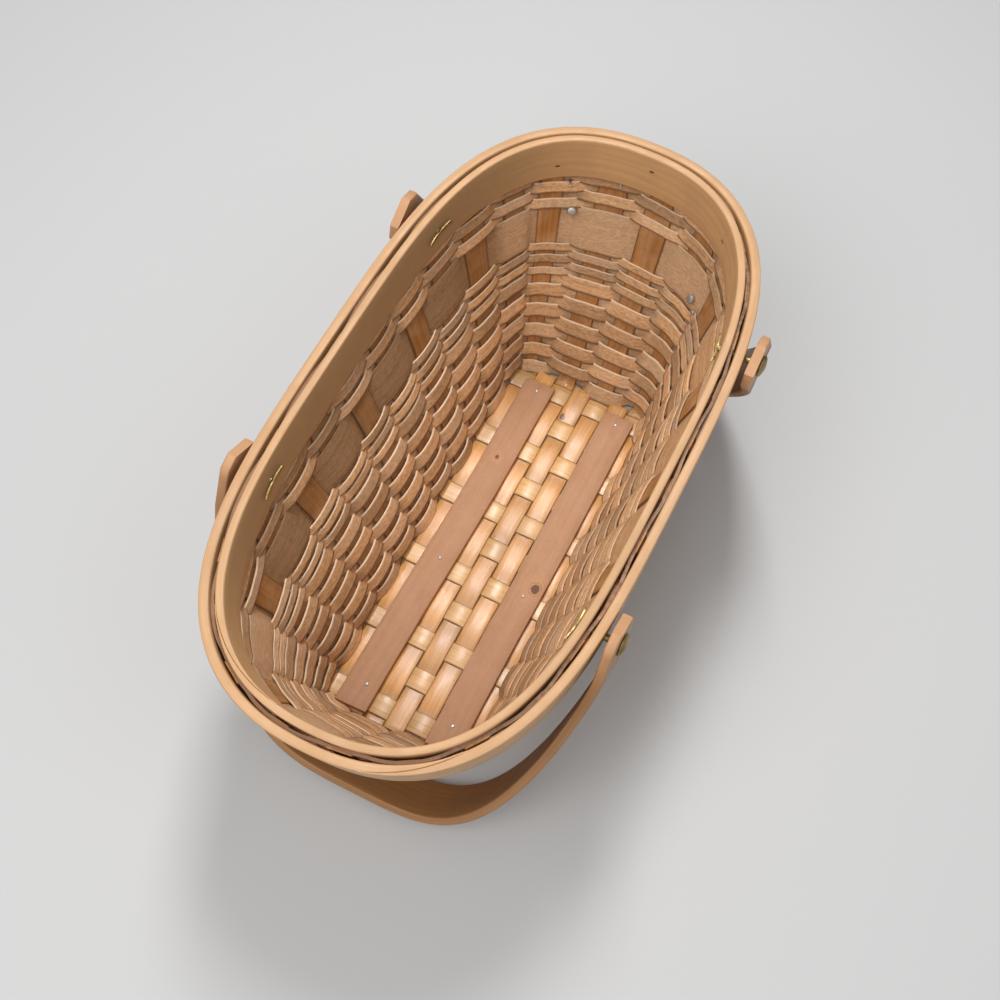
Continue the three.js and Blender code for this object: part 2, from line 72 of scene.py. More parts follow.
# Rim
RIM_LENGTH = 0.4488
RIM_WIDTH = 0.230
LENGTH_POWER = 3.56
WIDTH_POWER = 2.26
RIM_HEIGHT = 0.1871
HOOP_HEIGHT = 0.032
OUTER_HOOP = 0.0058
INNER_HOOP = 0.0049
INNER_RISE = 0.00275
HOOP_GAP = 0.004
HOOP_FOOT = RIM_HEIGHT - HOOP_HEIGHT
# How far the hoops lean in, in degrees: everywhere, and how much more at the near end
HOOP_LEAN, NEAR_LEAN = 5.0, 8.0
SPLINT_DEPTH = OUTER_HOOP + HOOP_GAP / 2
LINE_STEPS = 2400
# How far some uprights stand along the rim from their even places
RIM_SHIFTS = {0: -0.008, 1: -0.0015, 2: -0.0033}

# Floor
COLUMNS = 7
COLUMN_PITCH = 0.01448
COLUMN_WIDTH = 0.0131
CROSSINGS = 11
CROSS_PITCH = 0.02662
CROSS_WIDTH = 0.015
SPLINT = 0.0012
LAYER = 0.0015
LOW = SPLINT / 2
HIGH = LOW + LAYER
FLOOR_TOP = HIGH + SPLINT / 2
WAVE_POWER = 0.85  # under 1, since a splint rises more steeply than a wave
FLOOR_WIDTH = 0.0141
EDGE_REACH = 0.0014
# How far before the edge of the floor a splint turns up, and how far before it the others end
TURN_UP, LOOSE_END = 0.0012, 0.0015
HALF_LENGTH = CROSSINGS * CROSS_PITCH / 2
HALF_WIDTH = COLUMNS * COLUMN_PITCH / 2 + 0.0012
END_COUNT = (COLUMNS + 1) // 2
UPRIGHTS = 2 * (END_COUNT + CROSSINGS)
UPRIGHT_WIDTH = 0.0212
TOP_WIDTH = 0.015
CLOSE_SHARE = 0.6  # the widest that an upright is, as a share of the distance to its neighbour
# The heights over which an upright begins and ends to turn with the weave
TURN_FOOT, TURN_HEAD = 0.015, 0.03
TOP_DROP = 0.0025
SHOULDER = 0.006
WALL_START, WALL_STEP = 0.0035, 0.012
SPLINT_COLUMNS = 4
# Tones of the splints: crosswise ones, lengthwise ones, how much a tone swings, and the painted shade of their
# stretch on the left wall
CROSS_TONES, LONG_TONES = (0.88, 1.1), (0.9, 1.08)
TONE_SWING, LEFT_SHADE = 0.09, 0.8

# Rows, from the floor up: name, how many, height, gap above
ROW_GROUPS = (
    ("weaver_row", 10, 0.0074, 0.0003),
    ("narrow_row", 5, 0.0043, 0.0003),
    ("wide_band", 1, 0.0249, 0.0004),
    ("upper_row", 4, 0.0056, 0.0004),
)
RIM_ROW_HEIGHT = 0.0065
# How far a row's edge lies from an even spacing, by its height: the weave is packed closer near the floor
ROW_SHIFTS = ((0.0, -0.0006), (0.018, -0.0030), (0.034, -0.0026), (0.049, -0.0007), (0.065, 0.0006),
              (0.080, 0.0018), (0.104, 0.0018), (0.128, 0.0042), (0.153, 0.0034), (0.2, 0.0034))

# Handles and pins
PIVOT_HEIGHT = RIM_HEIGHT - 0.0128
PIVOTS = (("near", -0.0925, -1), ("far", 0.107, 1))
HANDLE_DEPTH = 0.1822
HANDLE_WIDTH = 0.0328
HANDLE_THICKNESS = 0.0058
HANDLE_HALF = RIM_WIDTH / 2 + 0.0006
HANDLE_STRAIGHT = 0.020
LEG_POWER = 3.8
BOW_POWER = 1.16
DROOP = math.radians(61.85)
EAR_LENGTH = 0.0128
EAR_TIP_WIDTH = 0.019
EAR_CHAMFER = 0.007
BOW_STEPS, BOW_SECTIONS = 600, 96
PIN_RADIUS = 0.0022
HEAD_RADIUS, HEAD_FOOT, DOME_HEIGHT = 0.0069, 0.0062, 0.0024
PRONG_SEAT = 0.0008  # how far inside the inner hoop the prongs' line runs
PRONG_LENGTH, PRONG_WIDTH, PRONG_THICKNESS, PRONG_TIP = 0.0115, 0.0030, 0.0008, 0.002


def length_property(name, description, default, least=0.0):
    return bpy.props.FloatProperty(name=name, description=description, default=default, min=least, unit="LENGTH")


def colour_property(name, description, default):
    return bpy.props.FloatVectorProperty(
        name=name, description=description, default=default, size=3, min=0, max=1, subtype="COLOR")


class BasketSizes(bpy.types.PropertyGroup):
    """Sizes that give the weave its hand-made look."""

    side_bow: length_property("Side bow", "How far a row bows past an upright on the long walls", 0.0007)
    end_bow: length_property("End bow", "How far a row bows past an upright on the end walls", 0.0002)
    row_lean: length_property(
        "Row lean", "How much further a row's lower edge stands into the basket than its upper one", 0.0011)
    row_overlap: bpy.props.FloatProperty(
        name="Row overlap", description="How much taller a row is than its pitch, as a share of its height",
        default=0.27, min=0, max=0.5, subtype="FACTOR")
    row_wander: length_property("Row wander", "How far a row's height wanders on its way round", 0.00045)
    row_thickness: length_property("Row thickness", "Thickness of the woven rows", 0.0011, 0.0005)
    edge_round: length_property("Edge round", "Rounding of the splints' worn edges", 0.0003)
    hoop_round: length_property("Hoop round", "Rounding of the hoops' edges", 0.0011)
    handle_round: length_property("Handle round", "Rounding of the handles' edges", 0.0012)


class BasketColours(bpy.types.PropertyGroup):
    """Middle colours of the woods and metals; the grain varies round them."""

    row: colour_property("Rows", "Dusty tan-brown of the woven rows", (0.59, 0.315, 0.128))
    upright: colour_property("Uprights", "Orange-brown of the splints on the walls", (0.38, 0.160, 0.044))
    cross: colour_property("Crosswise splints", "Pale tan of the floor's crosswise splints", (0.68, 0.37, 0.125))
    gold: colour_property("Lengthwise splints", "Honey gold of the floor's lengthwise splints", (0.68, 0.30, 0.060))
    slat: colour_property("Slats", "Pinkish-brown of the sawn slats", (0.48, 0.245, 0.125))
    hoop_edge: colour_property("Hoop edges", "Light peach of the hoops' sanded edges", (0.56, 0.318, 0.150))
    hoop_face: colour_property("Hoop faces", "Olive tan of the hoops' faces", (0.69, 0.415, 0.193))
    handle: colour_property("Handles", "Golden brown of the handles", (0.36, 0.165, 0.056))
    brass: colour_property("Brass", "Aged brass of the pins", (0.42, 0.31, 0.13))
    steel: colour_property("Steel", "Zinc grey of the nails", (0.62, 0.62, 0.62))


# Shape helpers

def signed_power(value, power):
    return math.copysign(abs(value) ** power, value)


def along(points):
    """How far along a line each of its points is."""
    lengths = [0.0]
    for a, b in zip(points, points[1:]):
        lengths.append(lengths[-1] + (b - a).length)
    return lengths


def span_at(lengths, wanted):
    """Which span holds a length, and the share of that span before it."""
    i = min(len(lengths) - 2, bisect.bisect_right(lengths, wanted) - 1)
    return i, (wanted - lengths[i]) / (lengths[i + 1] - lengths[i])


class RimLine:
    """The rim's oval moved inwards by a depth, walked from the far end's middle to the right side."""

    def __init__(self, inset):
        self.points, self.outs = [], []
        for i in range(LINE_STEPS):
            angle = 2 * math.pi * i / LINE_STEPS
            x = signed_power(math.cos(angle), 2 / LENGTH_POWER)
            y = signed_power(-math.sin(angle), 2 / WIDTH_POWER)
            out = Vector((LENGTH_POWER / RIM_LENGTH * signed_power(x, LENGTH_POWER - 1),
                          WIDTH_POWER / RIM_WIDTH * signed_power(y, WIDTH_POWER - 1), 0)).normalized()
            self.points.append(Vector((x * RIM_LENGTH / 2, y * RIM_WIDTH / 2, 0)) - out * inset)
            self.outs.append(out)
        self.travelled = along(self.points + self.points[:1])
        self.length = self.travelled[-1]

    def at(self, share):
        """The point and the outward direction at a share of the way round."""
        i, step = span_at(self.travelled, (share % 1) * self.length)
        j = (i + 1) % LINE_STEPS
        return self.points[i].lerp(self.points[j], step), self.outs[i].lerp(self.outs[j], step).normalized()

    def share_at(self, x, side):
        """The share of the way round at which the line passes x on one side of the basket."""
        fits = [i for i in range(LINE_STEPS) if self.points[i].y * side > 0]
        return self.travelled[min(fits, key=lambda i: abs(self.points[i].x - x))] / self.length


def hoop_lean(out):
    """How far the hoops lean in for each metre down: everywhere a little, and more at the near end."""
    return math.tan(math.radians(HOOP_LEAN + NEAR_LEAN * max(0.0, -out.x) ** 1.5))


SPLINT_LINE = RimLine(SPLINT_DEPTH)


def column_y(c):
    return ((COLUMNS - 1) / 2 - c) * COLUMN_PITCH


def cross_x(k):
    return (k - (CROSSINGS - 1) / 2) * CROSS_PITCH


def sideways(out):
    return Vector((out.y, -out.x, 0))


class Upright:
    """One splint's wall stretch: it leans out from the floor's edge, and leans with the hoops between them."""

    def __init__(self, number, foot, out, width):
        self.number, self.foot, self.out, self.width = number, Vector((*foot, 0)), Vector((*out, 0)), width
        shift = RIM_SHIFTS.get(number, 0) / SPLINT_LINE.length
        self.rim, self.rim_out = SPLINT_LINE.at((number - (END_COUNT - 1) / 2) / UPRIGHTS + shift)
        self.hoop_foot = self.rim - self.rim_out * HOOP_HEIGHT * hoop_lean(self.rim_out)

    def middle(self, height):
        point = self.foot.lerp(self.hoop_foot, min(height / HOOP_FOOT, 1))
        if height > HOOP_FOOT:
            point = self.hoop_foot.lerp(self.rim, (height - HOOP_FOOT) / HOOP_HEIGHT)
        point.z = height
        return point

    def at(self, height):
        """The middle, the direction across, the level outward direction and the width at a height.

        Between the floor and the hoops the splint turns with the weave, and it is narrower where its
        neighbour stands close, at the corners."""
        share = min(height / HOOP_FOOT, 1)
        point = self.middle(height)
        before, after = (ALL_UPRIGHTS[(self.number + n) % UPRIGHTS].middle(height) for n in (-1, 1))
        turn = max(0.0, min(1.0, height / TURN_FOOT, (HOOP_FOOT - height) / TURN_HEAD))
        across = sideways(self.out).lerp(sideways(self.rim_out), share).normalized()
        across = across.lerp((after - before).normalized(), turn).normalized()
        width = TOP_WIDTH if height > HOOP_FOOT else self.width + (UPRIGHT_WIDTH - self.width) * share
        width = min(width, CLOSE_SHARE * min((point - before).length, (after - point).length))
        return point, across, Vector((-across.y, across.x, 0)), width


def list_uprights():
    """Far end from the left, right side from the far end, near end from the right, left side."""
    places = [((HALF_LENGTH, column_y(2 * e)), (1, 0), COLUMN_WIDTH) for e in range(END_COUNT)]
    places += [((cross_x(k), -HALF_WIDTH), (0, -1), CROSS_WIDTH) for k in reversed(range(CROSSINGS))]
    places += [((-HALF_LENGTH, column_y(2 * e)), (-1, 0), COLUMN_WIDTH) for e in reversed(range(END_COUNT))]
    places += [((cross_x(k), HALF_WIDTH), (0, 1), CROSS_WIDTH) for k in range(CROSSINGS)]
    return [Upright(i, *place) for i, place in enumerate(places)]


ALL_UPRIGHTS = list_uprights()


def row_height(height):
    """The height of a row's edge, moved up or down by the packing of the weave."""
    for (a, low), (b, high) in zip(ROW_SHIFTS, ROW_SHIFTS[1:]):
        if height <= b:
            return height + low + (high - low) * (height - a) / (b - a)
    return height


def on_side_wall(i):
    return END_COUNT < i < END_COUNT + CROSSINGS - 1 or 2 * END_COUNT + CROSSINGS < i < UPRIGHTS - 1


def smooth_through(points, steps):
    """Points on a smooth closed curve through the given ones, with steps points for each span."""
    smooth = []
    for i in range(len(points)):
        a, b, c, d = (points[(i + n) % len(points)] for n in (-1, 0, 1, 2))
        for s in range(steps):
            t = s / steps
            smooth.append(0.5 * (2 * b + (c - a) * t + (2 * a - 5 * b + 4 * c - d) * t * t
                                 + (3 * b - a - 3 * c + d) * t ** 3))
    return smooth


def new_piece(name, bm, smooth=True):
    """An object from a finished bmesh, with smooth faces unless the bmesh has its own."""
    if smooth:
        for face in bm.faces:
            face.smooth = True
    mesh = bpy.data.meshes.new(name)
    bm.to_mesh(mesh)
    bm.free()
    piece = bpy.data.objects.new(name, mesh)
    bpy.context.collection.objects.link(piece)
    return piece


def grid_piece(name, sections, start, lengths, widths, marks, closed_along=False, closed_across=False):
    """A sheet made from a grid: each section is a list of points across, and marks are named
    numbers for each section and column. The UV map runs in metres, along from start, and across."""
    rows, columns = len(sections), len(sections[0])
    spans = (rows if closed_along else rows - 1, columns if closed_across else columns - 1)
    bm = bmesh.new()
    bmesh.ops.create_grid(bm, x_segments=spans[0], y_segments=spans[1], size=0.5)
    layers = {mark: bm.verts.layers.float.new(mark) for mark in marks}
    uv = bm.loops.layers.uv.new("Grain")
    places = {vert: [round((value + 0.5) * span) for value, span in zip(vert.co, spans)] for vert in bm.verts}
    for face in bm.faces:
        face.smooth = True
        for loop in face.loops:
            i, j = places[loop.vert]
            loop[uv].uv = (start + lengths[i], widths[j])
    for vert, (i, j) in places.items():
        vert.co = sections[i % rows][j % columns]
        for mark, layer in layers.items():
            vert[layer] = marks[mark](i % rows, j % columns)
    if closed_along or closed_across:
        bmesh.ops.remove_doubles(bm, verts=bm.verts, dist=1e-7)
    if closed_across and not closed_along:
        bmesh.ops.holes_fill(bm, edges=[edge for edge in bm.edges if edge.is_boundary])
    bmesh.ops.recalc_face_normals(bm, faces=bm.faces)
    return new_piece(name, bm, smooth=False)


def sharpen(piece, degrees):
    """Keeps the edges crisp that turn by more than an angle."""
    piece.data.set_sharp_from_angle(angle=math.radians(degrees))


def settle(piece, sharp_degrees=40):
    """Gives a piece the shape that its modifiers make, with smooth faces and crisp edges."""
    graph = bpy.context.evaluated_depsgraph_get()
    mesh = bpy.data.meshes.new_from_object(piece.evaluated_get(graph), preserve_all_data_layers=True, depsgraph=graph)
    old = piece.data
    piece.modifiers.clear()
    piece.data = mesh
    mesh.name = piece.name
    bpy.data.meshes.remove(old)
    sharpen(piece, sharp_degrees)


def ease_edges(piece, width, degrees):
    """Rounds the edges that turn by more than an angle."""
    soft = piece.modifiers.new("Eased edges", "BEVEL")
    soft.width, soft.segments = width, 2
    soft.limit_method, soft.angle_limit = "ANGLE", math.radians(degrees)


def give_thickness(piece, thickness, rounding):
    """Makes a sheet solid, with worn edges."""
    solid = piece.modifiers.new("Thickness", "SOLIDIFY")
    solid.thickness, solid.offset, solid.use_even_offset = thickness, 0, True
    ease_edges(piece, rounding, 50)
    settle(piece)


def cone(wide, narrow, depth, segments):
    """A capped cone along Z, with its middle at the origin."""
    bm = bmesh.new()
    bmesh.ops.create_cone(bm, cap_ends=True, segments=segments, radius1=wide, radius2=narrow, depth=depth)
    return bm


def aim(bm, place, direction):
    """Moves a shape to a place and turns its Z axis along a direction."""
    turn = direction.to_track_quat("Z", "Y").to_matrix().to_4x4()
    bmesh.ops.transform(bm, verts=bm.verts, matrix=Matrix.Translation(place) @ turn)


def dress(piece, material, slot, body, *nodes):
    """Gives a piece its material and its body, and hides the nodes that it stands for; slot is not used."""
    piece.data.materials.clear()
    piece.data.materials.append(material)
    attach(piece, body)
    if nodes:
        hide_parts(*nodes)


# Nodes

class Nodes:
    """A node tree, with short ways to add what the materials need."""

    def __init__(self, tree):
        self.tree = tree

    def feed(self, socket, value):
        if isinstance(value, bpy.types.NodeSocket):
            self.tree.links.new(value, socket)
        else:
            socket.default_value = value

    def add(self, kind, inputs=None, **values):
        """Adds a node and gives its outputs."""
        node = self.tree.nodes.new("ShaderNode" + kind)
        for key, value in values.items():
            setattr(node, key, value)
        for key, value in (inputs or {}).items():
            self.feed(node.inputs[key], value)
        return node.outputs

    def group(self, name, **inputs):
        """Adds one of the shared node groups and gives its outputs."""
        tree = bpy.data.node_groups.get(name) or new_group(name, *GROUPS[name])
        return self.add("Group", inputs, node_tree=tree)

    def math(self, operation, *values):
        return self.add("Math", dict(enumerate(values)), operation=operation)[0]

    def times(self, a, b):
        return self.math("MULTIPLY", a, b)

    def mix(self, factor, a, b, blend="MIX"):
        a, b = (value if isinstance(value, bpy.types.NodeSocket) else (*value, 1) for value in (a, b))
        return self.add("Mix", {0: factor, 6: a, 7: b}, data_type="RGBA", blend_type=blend)[2]

    def step(self, value, low, high):
        """A smooth step from 0 at the low value to 1 at the high one."""
        return self.add("MapRange", {0: value, 1: low, 2: high}, interpolation_type="SMOOTHSTEP")[0]

    def scaled(self, vector, scale):
        return self.add("Mapping", {"Vector": vector, "Scale": scale})[0]

    def noise(self, vector, scale, detail, roughness):
        return self.add("TexNoise", {"Vector": vector, "Scale": scale, "Detail": detail, "Roughness": roughness})[0]

    def distance(self, vector, centre, scale):
        """How far a vector lies from a centre, with its axes scaled."""
        offset = self.add("VectorMath", {0: vector, 1: centre}, operation="SUBTRACT")[0]
        return self.add("VectorMath", {0: self.scaled(offset, scale)}, operation="LENGTH")["Value"]


def grain_nodes(nodes, given):
    """Wood grain in a vector that runs along the wood: long streaks, fine fibres and dark pores."""
    x, y, z = nodes.add("SeparateXYZ", {0: given["Vector"]})
    bend = nodes.noise(nodes.scaled(given["Vector"], (14, 60, 60)), 1.0, 2.0, 0.55)
    wander = nodes.math("MULTIPLY_ADD", bend, 0.006, y)

    def field(shorter, finer, detail, roughness):
        place = {0: nodes.times(x, nodes.times(given["Length"], shorter)),
                 1: nodes.times(wander, nodes.times(given["Streaks"], finer)), 2: z}
        return nodes.noise(nodes.add("CombineXYZ", place)[0], 1.0, detail, roughness)

    streak, fibre = field(1.0, 1.0, 3.0, 0.6), field(6.0, 7.0, 2.0, 0.7)
    return nodes.step(streak, 0.3, 0.7), nodes.step(fibre, 0.3, 0.7), nodes.step(fibre, 0.36, 0.26)


def mottle_nodes(nodes, given):
    """Soft patches and small specks that don't follow the grain, such as dust and handling marks."""
    patch = nodes.noise(given["Vector"], given["Scale"], 3.0, 0.6)
    speck = nodes.noise(given["Vector"], nodes.times(given["Scale"], 14.0), 2.0, 0.6)
    return nodes.step(patch, 0.38, 0.66), nodes.step(speck, 0.52, 0.72)


def edge_nodes(nodes, given):
    """Masks along the two long edges of a strip, broken up by a fuzzy noise."""
    fuzz = nodes.noise(given["Vector"], 900.0, 3.0, 0.7)
    # How far each edge mask reaches, broken up by the fuzz; the masks carry wear, dirt, and painted light and shade
    worn = nodes.times(given["Reach"], nodes.math("ADD", fuzz, 0.5))
    below_top = nodes.math("SUBTRACT", 1.0, given["Across"])
    return [nodes.step(nodes.math("DIVIDE", gap, worn), 1.0, 0.35) for gap in (below_top, given["Across"])]


def knot_nodes(nodes, given):
    """A knot in a board: a dark core with rings and a pale halo, round a centre."""
    size = nodes.distance(given["Vector"], given["Centre"], (0.8, 1.0, 0.0))
    share = nodes.math("SUBTRACT", nodes.math("DIVIDE", size, given["Radius"]), 0.25)
    share = nodes.math("MULTIPLY_ADD", nodes.noise(given["Vector"], 260.0, 2.0, 0.55), 0.5, share)
    rings = nodes.step(nodes.math("SINE", nodes.times(share, 16.0)), -0.4, 0.8)
    ring = nodes.times(rings, nodes.step(share, 1.6, 0.5))
    return nodes.step(share, 0.75, 0.45), ring, nodes.step(share, 2.6, 0.8)


# The shared node groups: what builds each, and the names of its vectors, its numbers and its results
GROUPS = {
    "Wood grain": (grain_nodes, ("Vector",), ("Streaks", "Length"), ("Streak", "Fibre", "Pore")),
    "Mottle": (mottle_nodes, ("Vector",), ("Scale",), ("Patch", "Speck")),
    "Fuzzy edge": (edge_nodes, ("Vector",), ("Across", "Reach"), ("Upper", "Lower")),
    "Knot": (knot_nodes, ("Vector", "Centre"), ("Radius",), ("Core", "Ring", "Halo")),
}


def new_group(name, build, vectors, numbers, results):
    tree = bpy.data.node_groups.new(name, "ShaderNodeTree")
    for labels, side, kind in ((vectors, "INPUT", "Vector"), (numbers, "INPUT", "Float"),
                               (results, "OUTPUT", "Float")):
        for label in labels:
            tree.interface.new_socket(name=label, in_out=side, socket_type="NodeSocket" + kind)
    given, ends = tree.nodes.new("NodeGroupInput").outputs, tree.nodes.new("NodeGroupOutput").inputs
    for label, socket in zip(results, build(Nodes(tree), given)):
        tree.links.new(socket, ends[label])
    return tree


# Materials

# Tints and dark tones that the coats of the materials lean towards
DUST = (0.56, 0.41, 0.28)
ROSE_DUST = (0.66, 0.42, 0.28)
PALE_FUZZ = (0.84, 0.62, 0.46)
# The colour of the rows' worn upper edges, painted lighter than wear alone as a highlight
WORN_EDGE_AND_HIGHLIGHT = (1.0, 0.76, 0.54)
PALE_HONEY = (0.9, 0.7, 0.45)
HANDLED = (0.8, 0.62, 0.42)
SLAT_ROSE = (0.66, 0.42, 0.30)
SLAT_SPECK = (0.7, 0.52, 0.42)
KNOT_HALO = (0.7, 0.34, 0.16)
KNOT_CORE = (0.10, 0.035, 0.022)
# Olive tint of the painted shade on the inner faces towards the left
OLIVE_PAINTED_SHADE = (0.30, 0.22, 0.12)
EAR_COLOUR = (0.62, 0.33, 0.165)
NAIL_HOLE = (0.10, 0.05, 0.025)
# The rim row's colours: the rows' colours painted in shade, for the shaded gap between the hoops
RIM_ROW, RIM_ROW_EDGE = (0.17, 0.080, 0.042), (0.30, 0.155, 0.08)
STEEL_TARNISH, BRASS_TARNISH = (0.30, 0.29, 0.27), (0.18, 0.13, 0.055)

# Knots as centre and radius, and the centres of the nail holes in the inner hoop
SLAT_KNOTS = {
    "floor_slat_right": ((-0.0155, -0.039, 0.007), 0.0048),
    "floor_slat_left": ((0.064, 0.030, 0.007), 0.0022),
}
FLOOR_KNOT = ((0.1180, 0.0042, 0.0027), 0.0036)
HOOP_HOLES = ((0.1932, 0.0535, 0.1684), (0.2088, -0.0051, 0.1780), (0.1829, -0.0655, 0.1724))


def shade(colour, factor):
    return tuple(min(1.0, channel * factor) for channel in colour)


def tinted(colour, tint, share):
    return tuple(a + (b - a) * share for a, b in zip(colour, tint))


def new_material(name):
    """A material, and the inputs of its shader."""
    material = bpy.data.materials.new(name)
    material.use_nodes = True
    return material, material.node_tree.nodes["Principled BSDF"].inputs


class Paint(Nodes):
    """A material whose colour is laid on in coats that follow its patches and, where it has streaks, its grain."""

    def __init__(self, name, patches, streaks=0.0, length=0.0):
        self.material, self.shader = new_material(name)
        super().__init__(self.material.node_tree)
        self.place = self.add("TexCoord")["Object"]
        self.patch, self.speck = self.group("Mottle", Vector=self.place, Scale=patches)
        if streaks:
            self.uv = self.add("UVMap", uv_map="Grain")[0]
            self.streak, self.fibre, self.pore = self.group(
                "Wood grain", Vector=self.uv, Streaks=streaks, Length=length)

    def mark(self, name):
        return self.add("Attribute", attribute_name=name)["Fac"]

    def edges(self, across, reach):
        return self.group("Fuzzy edge", Vector=self.place, Across=across, Reach=reach)

    def coat(self, colour, mask, most=None):
        """Lays a colour over what is there, as far as the mask shows and at most by a share."""
        self.base = self.mix(mask if most is None else self.times(mask, most), self.base, colour)

    def tone(self):
        """Multiplies the colour by a tone that varies from splint to splint and from span to span."""
        tone = self.mark("tone")
        self.base = self.mix(1.0, self.base, self.add("CombineColor", {0: tone, 1: tone, 2: tone})[0], "MULTIPLY")

    def knot(self, centre, radius, colour):
        spot = self.group("Knot", Vector=self.place, Centre=centre, Radius=radius)
        self.coat(tinted(shade(colour, 1.3), KNOT_HALO, 0.4), spot["Halo"], 0.5)
        self.coat(shade(colour, 0.4), spot["Ring"], 0.55)
        self.coat(KNOT_CORE, spot["Core"], 0.85)

    def patchy(self, low, high):
        """A roughness that varies with the patches."""
        return self.add("MapRange", {0: self.patch, 3: low, 4: high})[0]

    def finish(self, height, strength, distance, roughness):
        """Joins the colour, the roughness and a bump to the shader."""
        bump = self.add("Bump", {"Strength": strength, "Distance": distance, "Height": height})[0]
        for label, value in (("Base Color", self.base), ("Roughness", roughness), ("Normal", bump)):
            self.feed(self.shader[label], value)
        return self.material


def row_material(name, colour, worn):
    """Rough thin splints: tan-brown with dusty spans, a mottled fuzzy face, worn upper edges painted lighter still as
    a highlight, and painted shade with dirt along the lower edges.
    """
    paint = Paint(name, 75.0, 420.0, 14.0)
    across, reach = paint.mark("across"), paint.mark("reach")
    fuzz = paint.group("Mottle", Vector=paint.place, Scale=330.0)["Patch"]
    fine = paint.group("Mottle", Vector=paint.scaled(paint.uv, (0.3, 1.0, 1.0)), Scale=900.0)["Patch"]
    paint.base = paint.mix(paint.streak, shade(colour, 0.72), shade(colour, 1.16))
    paint.coat(tinted(colour, DUST, 0.75), paint.mark("dust"), 0.75)
    paint.coat(tinted(colour, ROSE_DUST, 0.6), paint.patch, 0.4)
    paint.coat(shade(colour, 0.36), paint.pore, 0.6)
    paint.coat(shade(colour, 0.52), fuzz, paint.math("MULTIPLY_ADD", reach, 0.22, 0.08))
    paint.coat(tinted(shade(colour, 1.5), PALE_FUZZ, 0.4), fine, 0.42)
    paint.tone()
    # Wear and a painted highlight lighten the upper edge: the worn colour is painted lighter than wear alone
    paint.coat(worn, paint.edges(across, paint.times(reach, 0.12))["Upper"], paint.mark("wear"))
    # Painted shade and dirt darken the lower edge, where the rows meet
    paint.coat(shade(colour, 0.24), paint.edges(across, paint.times(reach, 0.20))["Lower"], 0.8)
    height = paint.math("ADD", paint.times(paint.fibre, 0.7), fine)
    return paint.finish(height, 0.6, 0.0004, paint.patchy(0.66, 0.92))


def splint_material(name, wall, floor, knot=None):
    """Smooth splints with a satin finish; the stretch that lies in the floor has its own colour, with painted shade
    where it dips under a crossing splint, and painted shade with dirt along both edges.
    """
    paint = Paint(name, 55.0, 520.0, 7.0)
    flat = paint.mark("in_floor")
    dark = paint.mix(flat, shade(wall, 0.6), shade(floor, 0.72))
    light = paint.mix(flat, shade(wall, 1.35), tinted(shade(floor, 1.15), PALE_HONEY, 0.25))
    paint.base = paint.mix(paint.streak, dark, light)
    paint.coat(paint.mix(flat, wall, floor), 0.45)
    paint.coat(shade(wall, 0.5), paint.pore, 0.4)
    paint.coat(tinted(floor, HANDLED, 0.5), paint.patch, 0.25)
    # Painted shade where a floor splint dips under the splint that it crosses
    paint.coat(shade(floor, 0.60), paint.mark("dip"), 0.75)
    paint.tone()
    # Painted shade and dirt darken both long edges, where a splint meets its neighbours
    upper, lower = paint.edges(paint.mark("across"), 0.065)
    paint.coat(shade(wall, 0.35), paint.math("MAXIMUM", upper, lower), 0.7)
    if knot:
        paint.knot(*knot, floor)
    on_wall = paint.math("SUBTRACT", 1.0, flat)
    roughness = paint.math("MULTIPLY_ADD", on_wall, 0.2, paint.patchy(0.27, 0.40))
    paint.feed(paint.shader["Coat Weight"], paint.times(flat, 0.14))
    paint.feed(paint.shader["Coat Roughness"], 0.19)
    height = paint.math("ADD", paint.times(paint.streak, 0.5), paint.fibre)
    return paint.finish(height, 0.2, 0.00012, roughness)


def slat_material(name, colour, knot):
    """Sawn softwood, matt, with soft growth lines and a knot."""
    paint = Paint(name, 45.0, 240.0, 5.0)
    paint.base = paint.mix(paint.streak, shade(colour, 0.93), shade(colour, 1.06))
    paint.coat(tinted(colour, SLAT_ROSE, 0.6), paint.patch, 0.35)
    paint.coat(shade(colour, 0.6), paint.pore, 0.3)
    paint.coat(SLAT_SPECK, paint.speck, 0.12)
    paint.knot(*knot, colour)
    return paint.finish(paint.math("ADD", paint.fibre, paint.speck), 0.3, 0.0003, paint.patchy(0.62, 0.8))


def bent_wood_material(name, face, edge, inner, holes=()):
    """Bent hardwood: darker fine-grained faces, light sanded edges and dark nail holes; the inner faces have their
    own colour, with an olive painted shade towards the left.
    """
    paint = Paint(name, 40.0, 330.0, 5.0)
    inside = paint.mark("inside")
    on_left = paint.step(paint.add("SeparateXYZ", {0: paint.place})[1], 0.02, 0.10)
    paint.base = paint.mix(paint.streak, shade(face, 0.8), shade(face, 1.12))
    paint.coat(paint.mix(inside, face, inner), 0.55)
    # Painted shade, olive-tinted, darkens the inner faces towards the left
    paint.coat(tinted(shade(inner, 0.5), OLIVE_PAINTED_SHADE, 0.4), paint.times(on_left, inside), 0.75)
    paint.coat(shade(inner, 0.55), paint.pore, 0.45)
    paint.coat(paint.mix(paint.streak, shade(edge, 0.9), shade(edge, 1.1)), paint.mark("edge"))
    paint.coat(EAR_COLOUR, paint.mark("ear"), 0.8)
    paint.coat(shade(edge, 0.82), paint.patch, 0.22)
    for centre in holes:
        paint.coat(NAIL_HOLE, paint.step(paint.distance(paint.place, centre, (0.5, 0.5, 1.0)), 0.0011, 0.0006))
    height = paint.math("ADD", paint.times(paint.streak, 0.4), paint.fibre)
    return paint.finish(height, 0.2, 0.0003, paint.patchy(0.42, 0.6))


